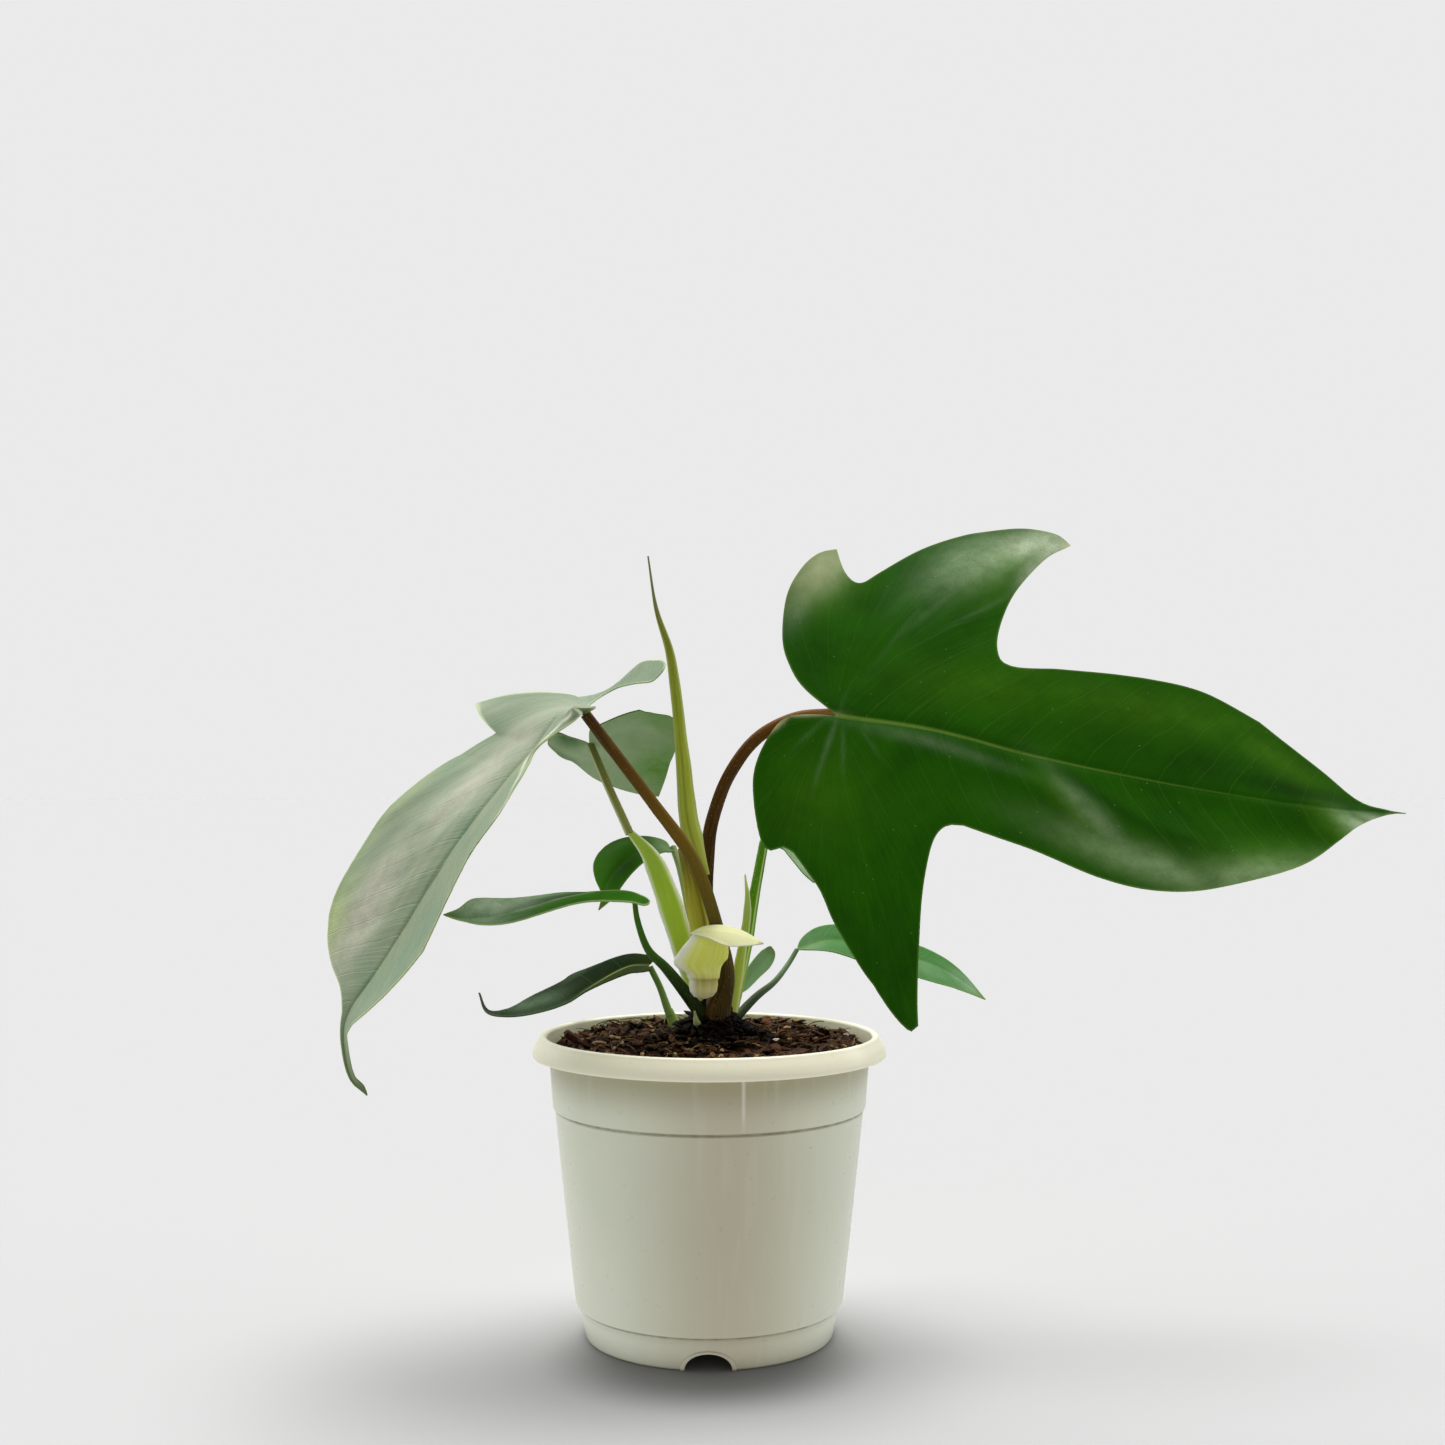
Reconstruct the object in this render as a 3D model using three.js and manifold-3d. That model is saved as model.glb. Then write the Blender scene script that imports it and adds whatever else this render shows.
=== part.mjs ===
// A young lobed philodendron in a round nursery pot. Millimetres, +Z up, the front faces -Y.
// The pot's axis is x = y = 0 while the pieces are made; at the end the whole plant moves so that
// the middle of its bounding box stands over the origin. Neighbours keep a small gap.
import * as THREE from "three";
import { mergeVertices } from "three/addons/utils/BufferGeometryUtils.js";
import { TessellateModifier } from "three/addons/modifiers/TessellateModifier.js";
import Module from "manifold-3d";

const wasm = await Module();
wasm.setup();

const gap = 0.3; // clear space between two pieces that touch

const pot = {
  height: 104.5,
  rimRadius: 62.5,
  rimDrop: 7.3, // the rolled rim's outer skirt
  mouthRadius: 57.4,
  collarRadius: 56.6,
  stepHeight: 79,
  stepRadius: 54.4,
  bodyFootRadius: 47,
  footHeight: 11,
  footRadius: 45.6,
  baseRadius: 43.4,
  wall: 1.4,
  floorUnder: 7,
  floorThick: 1.6,
  segments: 60,
};
const footArch = { count: 3, width: 17, height: 6.2, centreAngle: -90 };
const drain = { count: 6, radius: 3.5, circle: 27 };

const soilLevel = { atWall: 99.8, atStem: 104.5, moundRadius: 18, tilt: 0.03 };
const leafThick = 0.8;
const smallLeafThick = 0.6;
const meshStep = 13; // the longest edge on a blade

const colours = {
  pot: "#e9e7d6",
  soil: "#2b1a10",
  stem: "#1d1712",
  deepGreen: "#1f5a08",
  paleGreen: "#7f9a72",
  underside: "#64804c",
  darkGreen: "#2a4a22",
  brownStalk: "#5a2f14",
  oliveStalk: "#7c8a22",
  brightStalk: "#7da51c",
  cream: "#e6eaa9",
  bark: "#4a3020",
  perlite: "#eeeae0",
};

// ---- solids -------------------------------------------------------------------------------

function solid(geometry) {
  const plain = geometry.index ? geometry.toNonIndexed() : geometry.clone();
  for (const name of Object.keys(plain.attributes)) {
    if (name !== "position") plain.deleteAttribute(name);
  }
  const merged = mergeVertices(plain, 1e-4);
  return new wasm.Manifold(
    new wasm.Mesh({
      numProp: 3,
      vertProperties: new Float32Array(merged.attributes.position.array),
      triVerts: new Uint32Array(merged.index.array),
    }),
  );
}

function largestBody(made) {
  const bodies = made.decompose();
  return bodies.reduce((best, body) => (body.volume() > best.volume() ? body : best));
}

function geometryOf(made) {
  const mesh = made.getMesh();
  const geometry = new THREE.BufferGeometry();
  geometry.setAttribute("position", new THREE.BufferAttribute(mesh.vertProperties, 3));
  geometry.setIndex(new THREE.BufferAttribute(mesh.triVerts, 1));
  const flat = geometry.toNonIndexed();
  flat.computeVertexNormals();
  return flat;
}

// ---- the pot and its soil -----------------------------------------------------------------

function lathe(profile, segments) {
  return new THREE.LatheGeometry(
    profile.map(([radius, z]) => new THREE.Vector2(radius, z)),
    segments,
  ).rotateX(Math.PI / 2);
}

function innerRadius(z) {
  const low = pot.bodyFootRadius - pot.wall;
  const high = pot.stepRadius - pot.wall;
  if (z < pot.stepHeight) {
    return low + ((high - low) * (z - pot.footHeight)) / (pot.stepHeight - pot.footHeight);
  }
  const rise = (z - pot.stepHeight) / (pot.height - pot.stepHeight);
  return high + (pot.mouthRadius - high) * rise;
}

function rimArc() {
  const points = [];
  const half = (pot.rimRadius - pot.mouthRadius) / 2;
  const steps = 4;
  for (let k = 0; k <= steps; k += 1) {
    const turn = (Math.PI * k) / steps;
    points.push([pot.mouthRadius + half * (1 + Math.cos(turn)), pot.height - 1.2 + 1.2 * Math.sin(turn)]);
  }
  return points;
}

function potSolid() {
  const rimBottom = pot.height - pot.rimDrop;
  const floorTop = pot.floorUnder + pot.floorThick;
  const footInner = pot.baseRadius - pot.wall;
  const profile = [
    [0, pot.floorUnder],
    [footInner, pot.floorUnder],
    [footInner, 0],
    [pot.baseRadius, 0],
    [pot.footRadius, pot.footHeight],
    [pot.bodyFootRadius, pot.footHeight + 0.8],
    [pot.stepRadius, pot.stepHeight],
    [pot.stepRadius + 0.7, pot.stepHeight + 0.8],
    [pot.collarRadius, rimBottom + 1],
    [pot.rimRadius - 1.8, rimBottom],
    ...rimArc(),
    [innerRadius(pot.stepHeight), pot.stepHeight],
    [innerRadius(floorTop), floorTop],
    [0, floorTop],
  ];
  let made = solid(lathe(profile, pot.segments));
  for (let k = 0; k < footArch.count; k += 1) {
    const angle = THREE.MathUtils.degToRad(footArch.centreAngle + (360 * k) / footArch.count);
    const arch = new THREE.CylinderGeometry(footArch.width / 2, footArch.width / 2, 12, 20);
    arch.scale(1, 1, footArch.height / (footArch.width / 2));
    arch.rotateZ(angle + Math.PI / 2);
    arch.translate(pot.baseRadius * Math.cos(angle), pot.baseRadius * Math.sin(angle), 0);
    made = made.subtract(solid(arch));
  }
  for (let k = 0; k < drain.count; k += 1) {
    const angle = (2 * Math.PI * k) / drain.count;
    const hole = new THREE.CylinderGeometry(drain.radius, drain.radius, 8, 12).rotateX(Math.PI / 2);
    hole.translate(drain.circle * Math.cos(angle), drain.circle * Math.sin(angle), pot.floorUnder);
    made = made.subtract(solid(hole));
  }
  return made;
}

// The soil's top is a low mound with lumps of a millimetre or so, a little higher at the back.
function soilHeight(x, y) {
  const radius = Math.hypot(x, y);
  const mound = (soilLevel.atStem - soilLevel.atWall) * Math.exp(-((radius / soilLevel.moundRadius) ** 2));
  const lumps = 0.7 * Math.sin(x * 0.31 + 1) * Math.cos(y * 0.27) + 0.4 * Math.sin((x + 2 * y) * 0.19);
  return soilLevel.atWall + mound + soilLevel.tilt * y + lumps * Math.min(1, (54 - radius) / 10);
}

function soilSolid() {
  const bottom = pot.floorUnder + pot.floorThick + gap;
  const edge = (z) => innerRadius(z) - 2 * gap;
  const profile = [
    [0, bottom],
    [edge(bottom), bottom],
    [edge(pot.stepHeight), pot.stepHeight],
    [edge(soilLevel.atWall), soilLevel.atWall],
    ...[44, 34, 25, 17, 10, 5].map((radius) => [radius, soilLevel.atWall]),
    [0, soilLevel.atWall],
  ];
  const geometry = lathe(profile, 36);
  const place = geometry.attributes.position;
  for (let k = 0; k < place.count; k += 1) {
    const [x, y, z] = [place.getX(k), place.getY(k), place.getZ(k)];
    if (z > soilLevel.atWall - 0.01) place.setZ(k, soilHeight(x, y));
  }
  return solid(geometry);
}

// ---- stalks -------------------------------------------------------------------------------

const vector = ([x, y, z]) => new THREE.Vector3(x, y, z);

function between(list, t) {
  const place = t * (list.length - 1);
  const low = Math.min(Math.floor(place), list.length - 2);
  return list[low] + (list[low + 1] - list[low]) * (place - low);
}

// A tapered stalk along a smooth curve; flat squashes its section from front to back.
function stalkSolid({ route, radii, flat = 1, steps = 12, sides = 8 }, grow = 0) {
  const curve = new THREE.CatmullRomCurve3(route.map(vector));
  const tube = new THREE.CylinderGeometry(1, 1, 1, sides, steps);
  const place = tube.attributes.position;
  for (let k = 0; k < place.count; k += 1) {
    const t = Math.round((place.getY(k) + 0.5) * steps) / steps;
    const along = curve.getTangentAt(t);
    const thin = new THREE.Vector3(0, 1, 0).addScaledVector(along, -along.y).normalize();
    const wide = new THREE.Vector3().crossVectors(along, thin);
    const radius = between(radii, t);
    const point = curve.getPointAt(t);
    if (t === 0) point.addScaledVector(along, -grow);
    if (t === 1) point.addScaledVector(along, grow);
    point.addScaledVector(wide, place.getX(k) * (radius + grow));
    point.addScaledVector(thin, place.getZ(k) * (radius * flat + grow));
    place.setXYZ(k, point.x, point.y, point.z);
  }
  return solid(tube);
}

// ---- leaf blades --------------------------------------------------------------------------

// A blade is a flat outline in u (along the midrib from the stalk) and v (to the left, seen from
// above), carried onto a bent sheet. rib: the midrib. face: the upper side's direction at even
// steps along it. fold: how many degrees each half rises, [left at stalk, at tip, right at stalk,
// at tip]. curl: degrees per millimetre that each half then droops. back: degrees per millimetre
// that the lobes behind the stalk rise.
function bladeMap({ rib, face, fold, curl, back }) {
  const curve = new THREE.CatmullRomCurve3(rib.map(vector));
  const length = curve.getLength();
  const faces = face.map(vector).map((direction) => direction.normalize());
  const radians = THREE.MathUtils.degToRad;
  return (u, v, w) => {
    const t = THREE.MathUtils.clamp(u / length, 0, 1);
    const along = curve.getTangentAt(t);
    const up = new THREE.Vector3(...[0, 1, 2].map((axis) => between(faces.map((f) => f.getComponent(axis)), t)));
    up.addScaledVector(along, -up.dot(along)).normalize();
    const side = new THREE.Vector3().crossVectors(up, along);
    const point = curve.getPointAt(t);
    if (u > length) point.addScaledVector(along, u - length);
    if (u < 0) {
      const bend = radians(back);
      const turn = bend * u;
      point.addScaledVector(along, Math.sin(turn) / bend).addScaledVector(up, (1 - Math.cos(turn)) / bend);
      up.applyAxisAngle(side, -turn);
    }
    const [atStalk, atTip, droop] = v > 0 ? [fold[0], fold[1], curl[0]] : [fold[2], fold[3], curl[1]];
    const rise = radians(atStalk + (atTip - atStalk) * t);
    const bend = radians(droop);
    const reach = Math.abs(v);
    const across = (Math.sin(rise) - Math.sin(rise - bend * reach)) / bend;
    const height = (Math.cos(rise - bend * reach) - Math.cos(rise)) / bend;
    point.addScaledVector(side, Math.sign(v) * across);
    return point.addScaledVector(up, height + w);
  };
}

// Each stretch of the outline is a smooth curve; two stretches meet at a pointed tip or a notch.
function outlineShape(outline) {
  const shape = new THREE.Shape();
  shape.moveTo(...outline[0][0]);
  for (const stretch of outline) {
    shape.splineThru(stretch.slice(1).map(([u, v]) => new THREE.Vector2(u, v)));
  }
  return shape;
}

function bladeSolid(leaf, grow = 0) {
  const depth = leaf.thick + 2 * grow;
  const slab = new THREE.ExtrudeGeometry(outlineShape(leaf.outline), {
    depth,
    bevelEnabled: false,
    curveSegments: 1,
  }).translate(0, 0, -depth / 2);
  const fine = new TessellateModifier(leaf.step ?? meshStep, 8).modify(slab);
  const place = fine.attributes.position;
  const map = bladeMap(leaf);
  for (let k = 0; k < place.count; k += 1) {
    const point = map(place.getX(k), place.getY(k), place.getZ(k));
    place.setXYZ(k, point.x, point.y, point.z);
  }
  return solid(fine);
}

// The right leaf stands nearly upright and shows its whole upper side to the front.
const leafRight = {
  thick: leafThick,
  rib: [
    [45, -6, 217],
    [77, -12, 212],
    [115, -15, 202],
    [171, -14, 191],
    [219, -6, 184],
    [250, 6, 182],
  ],
  face: [
    [0.02, -0.95, 0.32],
    [0.05, -0.94, 0.34],
    [0.15, -0.85, 0.5],
  ],
  fold: [-2, 0, -3, -2],
  curl: [0.14, 0.1],
  back: 0.1,
  outline: [
    [[0, 0], [-13, 8], [-20, 16], [-25, 27], [-27, 45], [-24, 58], [-19, 66], [-13, 69]],
    [[-13, 69], [-8, 59], [-2, 55], [5, 61], [19, 75], [35, 87], [48, 94], [62, 95], [72, 92]],
    [[72, 92], [60, 83], [51, 66], [48, 50], [49, 37], [55, 32], [75, 36], [101, 39], [130, 39], [154, 31]],
    [[154, 31], [178, 15], [192, 4], [203, 1], [212, 0]],
    [[212, 0], [203, -1], [187, -7], [165, -23], [137, -35], [118, -39], [99, -38], [75, -33], [53, -31]],
    [[53, -31], [47, -33], [44, -40], [45, -56], [49, -75], [53, -92], [55.5, -101]],
    [[55.5, -101], [54, -103.5], [50, -102], [40, -96], [25, -87.5], [12, -74.5], [4, -62], [-6, -51.5]],
    [[-6, -51.5], [-10, -50], [-14, -52], [-18, -49], [-23, -36], [-25, -24], [-22, -11], [-16, -3], [0, 0]],
  ],
};

// The left leaf is level where the stalk meets it, then droops and turns its upper side left.
const leafLeft = {
  thick: leafThick,
  rib: [
    [-43, -22, 217],
    [-51, -23, 216],
    [-59, -26, 206],
    [-71, -31, 191],
    [-85, -36, 172],
    [-106, -40, 137],
    [-119, -40, 117],
    [-121, -39, 109],
    [-119, -38, 95],
    [-114, -37, 88],
  ],
  face: [
    [0, -0.05, 1],
    [-0.35, -0.17, 0.9],
    [-0.6, -0.42, 0.68],
    [-0.68, -0.5, 0.52],
    [-0.68, -0.5, 0.5],
    [-0.68, -0.5, 0.5],
  ],
  fold: [5, 18, 8, 13],
  curl: [0.05, 0.05],
  back: 1.1,
  outline: [
    [[0, 0], [-3, 10], [-3, 25], [0, 40], [5, 50]],
    [[5, 50], [10, 44], [12, 33], [17, 16], [24, 6], [32, 17], [39, 25], [52, 31], [64, 28], [74, 31], [98, 38]],
    [[98, 38], [106, 35], [116, 29], [125, 22], [132, 10], [138, 2], [148, 1], [161, 0]],
    [[161, 0], [148, -0.7], [138, -1.5], [131, -4], [127, -12], [124, -26], [118, -38], [106, -47], [71, -55]],
    [[71, -55], [50, -56], [37, -53], [28, -45], [20, -37]],
    [[20, -37], [16, -51], [13, -68], [11.5, -83]],
    [[11.5, -83], [9, -74], [7, -60], [4, -50], [-4, -46], [-13, -44], [-20, -48], [-30, -47], [-36, -39]],
    [[-36, -39], [-38, -30], [-36, -20], [-30, -16], [-24, -27], [-17, -36], [-10, -34], [-4, -18], [0, 0]],
  ],
};

const leafBack = {
  thick: smallLeafThick,
  rib: [
    [-45, 30, 208],
    [-38, 38, 205],
    [-29, 50, 196],
    [-20, 58, 185],
  ],
  face: [
    [0.1, 0.6, 0.8],
    [0.3, 0.75, 0.6],
  ],
  fold: [5, 5, 5, 5],
  curl: [0.1, 0.1],
  back: 0.2,
  outline: [
    [[0, 0], [-8, 2], [-14, 3], [-11, 11], [-3, 15], [6, 18], [23, 18.5], [31, 13.5], [37.5, 6], [42, -2]],
    [[42, -2], [34, -11.5], [23.5, -21], [15.5, -27.5], [9.5, -32], [5, -29], [-3, -28]],
    [[-3, -28], [-5.5, -22], [-7, -13], [-7, -7], [0, 0]],
  ],
};

const leafSmall = {
  thick: smallLeafThick,
  rib: [
    [-15, 34, 169],
    [-20, 31, 169.5],
    [-30, 26, 165.5],
    [-37, 24, 158],
    [-41, 24, 147],
  ],
  face: [
    [-0.1, -0.5, 0.86],
    [-0.5, -0.7, 0.5],
  ],
  fold: [1, 1, 1, 1],
  curl: [0.2, 0.2],
  back: 0.2,
  outline: [
    [[0, 0], [0, 4], [7, 5.5], [12, 6], [20, 7.4], [29, 7.3], [35, 5], [41, 0]],
    [[41, 0], [35, -1], [31, -6.5], [26.5, -12], [20, -13.5], [11, -11.5], [3, -6.5], [0, -4], [0, 0]],
  ],
};

const leafMiddle = {
  thick: smallLeafThick,
  rib: [
    [-27, -2, 153.3],
    [-34, -3, 153.8],
    [-46, -5, 152],
    [-66, -8, 149],
    [-84, -10, 147],
    [-97, -12, 145],
  ],
  face: [
    [0, -0.12, 1],
    [0, -0.15, 0.98],
    [0, -0.25, 0.97],
  ],
  fold: [-3, -6, -35, 18],
  curl: [0.4, 0.02],
  back: 0.2,
  outline: [
    [[0, 0], [-3, 4], [0, 8], [10, 9], [22, 7], [34, 7], [47, 7], [57, 5], [64, 2], [71, 0]],
    [[71, 0], [66, -4], [61, -9], [53, -10], [41, -9], [25, -10], [10, -10], [0, -8], [-3, -4], [0, 0]],
  ],
};

const leafLow = {
  thick: smallLeafThick,
  rib: [
    [-23, 32, 125],
    [-31, 33, 126],
    [-45, 35, 121],
    [-64, 38, 112],
    [-77, 40, 106],
    [-83, 41, 107],
    [-87, 42, 114],
  ],
  face: [
    [0, -0.4, 0.9],
    [-0.1, -0.42, 0.88],
    [0, -0.4, 0.85],
  ],
  fold: [1, 1, 1, 1],
  curl: [0.3, 0.3],
  back: 0.2,
  outline: [
    [[0, 0], [-1.5, 4], [4, 7], [17, 8], [30, 7], [43, 6], [53, 5], [60, 1], [67, 0.6], [74, 0.3]],
    [[74, 0.3], [74, -0.3], [67, -0.6], [57, -2.5], [45, -6], [32, -6.5], [19, -5], [6, -5.5], [-1.5, -4], [0, 0]],
  ],
};

const leafFar = {
  thick: smallLeafThick,
  rib: [
    [33, 48, 130],
    [46, 50, 133],
    [65, 52, 129],
    [88, 54, 122],
    [106, 55, 110],
  ],
  face: [
    [0.1, -0.6, 0.8],
    [0.3, -0.6, 0.75],
  ],
  fold: [1, 1, 1, 1],
  curl: [0.2, 0.2],
  back: 0.2,
  outline: [
    [[0, 0], [2, 3], [6, 5.7], [13, 8], [30, 10], [50, 7.5], [58, 6.3], [68, 4], [79, -0.6]],
    [[79, -0.6], [73, -3], [66, -6], [58, -9], [50, -10.2], [35, -11], [21, -8.8], [12, -6.5], [5, -3], [0, 0]],
  ],
};

const leafNarrow = {
  thick: smallLeafThick,
  step: 7,
  rib: [
    [10, 16, 116],
    [16, 24, 123.5],
    [21.5, 30, 129.5],
    [23, 32, 133],
  ],
  face: [
    [0.4, -0.9, 0.2],
    [0.4, -0.9, 0.2],
  ],
  fold: [8, 8, 8, 8],
  curl: [0.5, 0.5],
  back: 0.2,
  outline: [
    [[0, 0], [5, 2], [14, 3], [21, 3], [25, 1.4], [26, 0]],
    [[26, 0], [24, -2.5], [19, -3.6], [12, -3], [5, -2], [0, 0]],
  ],
};

const leafInner = {
  thick: smallLeafThick,
  rib: [
    [21, 12, 171.5],
    [32, 23, 170],
    [47, 36, 156],
    [67, 46, 126],
  ],
  face: [
    [0.1, -0.6, 0.8],
    [0.5, -0.6, 0.65],
  ],
  fold: [2, 2, 2, 2],
  curl: [0.2, 0.2],
  back: 0.2,
  outline: [
    [[0, 0], [4, 6], [14, 12], [28, 14], [42, 10], [54, 5], [67, 0]],
    [[67, 0], [54, -5], [42, -8], [30, -13], [16, -22], [2, -25]],
    [[2, -25], [1.7, -19], [3.5, -9], [4.5, -3.5], [0, 0]],
  ],
};

const cataphyllFlap = {
  thick: smallLeafThick,
  step: 8,
  rib: [
    [-6, -14, 139.5],
    [0, -15, 141],
    [8, -16, 141],
    [19, -17, 137.5],
  ],
  face: [
    [-0.1, -0.55, 0.83],
    [0.3, -0.45, 0.85],
  ],
  fold: [-6, -4, -10, -4],
  curl: [1.5, 2.5],
  back: 0.2,
  outline: [
    [[0, 0], [0, 3], [6, 5.5], [13, 5.8], [20, 3.6], [25.8, 0]],
    [[25.8, 0], [21, -3.5], [13, -5.5], [6, -5], [0, -3], [0, 0]],
  ],
};

// ---- stalks, sheaths and the base ---------------------------------------------------------

const petioleRight = {
  route: [
    [1, 6, 117],
    [-1, 8, 142],
    [-1, 8, 161.5],
    [1, 7, 179.5],
    [8, 4, 197.5],
    [18, 1, 209.8],
    [31, -1, 216.2],
    [44, -3, 217.5],
  ],
  radii: [2.6, 2.6, 2.5, 2.3, 2.2, 2.1],
  steps: 22,
};
const petioleLeft = {
  route: [
    [6.5, -2, 113],
    [6, -4, 129],
    [2.7, -6, 142.5],
    [-5.5, -11, 166],
    [-19.8, -16, 186.5],
    [-35.3, -20, 207],
    [-42, -21.8, 216],
  ],
  radii: [3, 2.9, 2.7, 2.3, 1.9, 1.8, 1.6],
  steps: 18,
};
const spearLeaf = {
  route: [
    [-1, 1, 161.5],
    [-6.6, 1, 176.5],
    [-9.4, 1, 201],
    [-12.1, 1, 226],
    [-14.4, 1, 240.5],
    [-19, 1, 255],
    [-22, 1, 274],
  ],
  radii: [0.8, 3.6, 3.2, 2.7, 2.2, 2, 1.7, 1.1, 0.5, 0.3],
  steps: 20,
};
const spearSheath = {
  route: [
    [-0.5, 2, 117],
    [-3.5, 2, 141.5],
    [-7, 2, 158.5],
    [-10, 2, 169],
  ],
  radii: [3.6, 3.6, 3.3, 1.2],
  steps: 10,
};
const petioleBack = {
  route: [
    [-30, 22, 175.5],
    [-38.5, 27, 193.5],
    [-44.5, 30, 207],
  ],
  radii: [1.2, 1.2, 1.3],
  steps: 6,
};
const sheathBack = {
  route: [
    [-4.5, 9, 117],
    [-9.4, 10, 133.5],
    [-16.2, 16, 154],
    [-22, 20, 166.5],
    [-29.5, 22, 175],
  ],
  radii: [3.2, 4.2, 4.6, 3.9, 1.2],
  flat: 0.5,
  steps: 12,
};
const petioleSmall = {
  route: [
    [-3, 14, 112],
    [-7, 16, 143],
    [-11, 26, 161],
    [-13.6, 32.6, 168.4],
  ],
  radii: [1.5, 1.4, 1.2],
  steps: 9,
};
const petioleMiddle = {
  route: [
    [-3, -4, 112],
    [-8.5, -5, 119.5],
    [-15.5, -4, 128],
    [-21.5, -3, 134],
    [-25.5, -2, 144.5],
    [-26.5, -2, 151.5],
  ],
  radii: [2.4, 2.2, 1.9, 1.4, 1.1, 0.9],
  steps: 12,
};
const petioleLow = {
  route: [
    [-15, 26, 108],
    [-18.5, 30, 117],
    [-22, 32, 123.8],
  ],
  radii: [1.2, 1, 1],
  steps: 5,
};
const sheathLow = {
  route: [
    [-10, 21, 97],
    [-12, 24, 102],
    [-15, 26, 108.5],
  ],
  radii: [2.2, 2.2, 1.3],
  flat: 0.7,
  steps: 5,
};
const petioleFar = {
  route: [
    [9, 9, 108],
    [16.5, 20, 114.5],
    [24, 32, 119],
    [30, 44, 125],
    [32.6, 47.4, 128.8],
  ],
  radii: [1.7, 1.5, 1.2, 1, 0.9],
  steps: 9,
};
const petioleInner = {
  route: [
    [8.5, 6, 112],
    [11.5, 8, 124],
    [14.5, 10, 136.5],
    [17.5, 10, 154.5],
    [19.6, 11, 170],
  ],
  radii: [1.8, 1.7, 1.6, 1.4, 1.2],
  steps: 10,
};
const sheathInner = {
  route: [
    [8, 1, 113],
    [11, 4, 130],
    [13.3, 5, 144],
    [13.6, 5, 152],
    [12.8, 5, 159.5],
  ],
  radii: [2.2, 2, 1.6, 1.4, 0.3],
  flat: 0.5,
  steps: 9,
};
// The folded scale leaf at the front: a pouch that widens upward under its flap.
const cataphyll = {
  route: [
    [1, -12, 116.5],
    [-2.5, -13, 123],
    [-3.4, -13.5, 129.5],
    [-1.6, -13.5, 135],
    [0.2, -13.5, 139],
  ],
  radii: [2.5, 5.8, 7.6, 9.2, 8.3, 6.8],
  flat: 0.42,
  steps: 8,
  sides: 14,
};
const bud = {
  route: [
    [-3.5, -9, 104],
    [-4.5, -9.5, 111],
    [-5, -9, 115],
  ],
  radii: [1.6, 2, 0.5],
  steps: 4,
};

function stemSolid(grow = 0) {
  const profile = [
    [0, 94 - grow],
    [8.5 + grow, 94 - grow],
    [9.5 + grow, 102],
    [7.5 + grow, 109],
    [4.5 + grow, 113 + grow],
    [0, 115 + grow],
  ];
  return solid(lathe(profile, 16).scale(1, 0.8, 1).translate(2, 0, 0));
}

// ---- loose bits on the soil ---------------------------------------------------------------

function chipSolid({ size, at, turn }, grow = 0) {
  const box = new THREE.BoxGeometry(...size.map((edge) => edge + 2 * grow));
  box.applyMatrix4(new THREE.Matrix4().makeRotationFromEuler(new THREE.Euler(...turn)));
  return solid(box.translate(...at));
}

function beadSolid({ radius, at }, grow = 0) {
  const bead = new THREE.IcosahedronGeometry(radius + grow, 1);
  return solid(bead.scale(1, 1, 0.8).translate(...at));
}

const barkChips = [
  { size: [9, 4, 2.4], at: [-47, -4, 102.6], turn: [0.2, 0.65, 0.3] },
  { size: [8, 5, 2.2], at: [30, -25, 100.6], turn: [0.1, -0.2, 0.8] },
  { size: [7, 3.5, 2.2], at: [-22, 34, 100.6], turn: [-0.15, 0.2, -0.5] },
];
const perliteBeads = [
  { radius: 1.9, at: [23.5, 0, 101.2] },
  { radius: 1.5, at: [-30, -28, 100.4] },
];

// ---- the whole plant ----------------------------------------------------------------------

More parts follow.
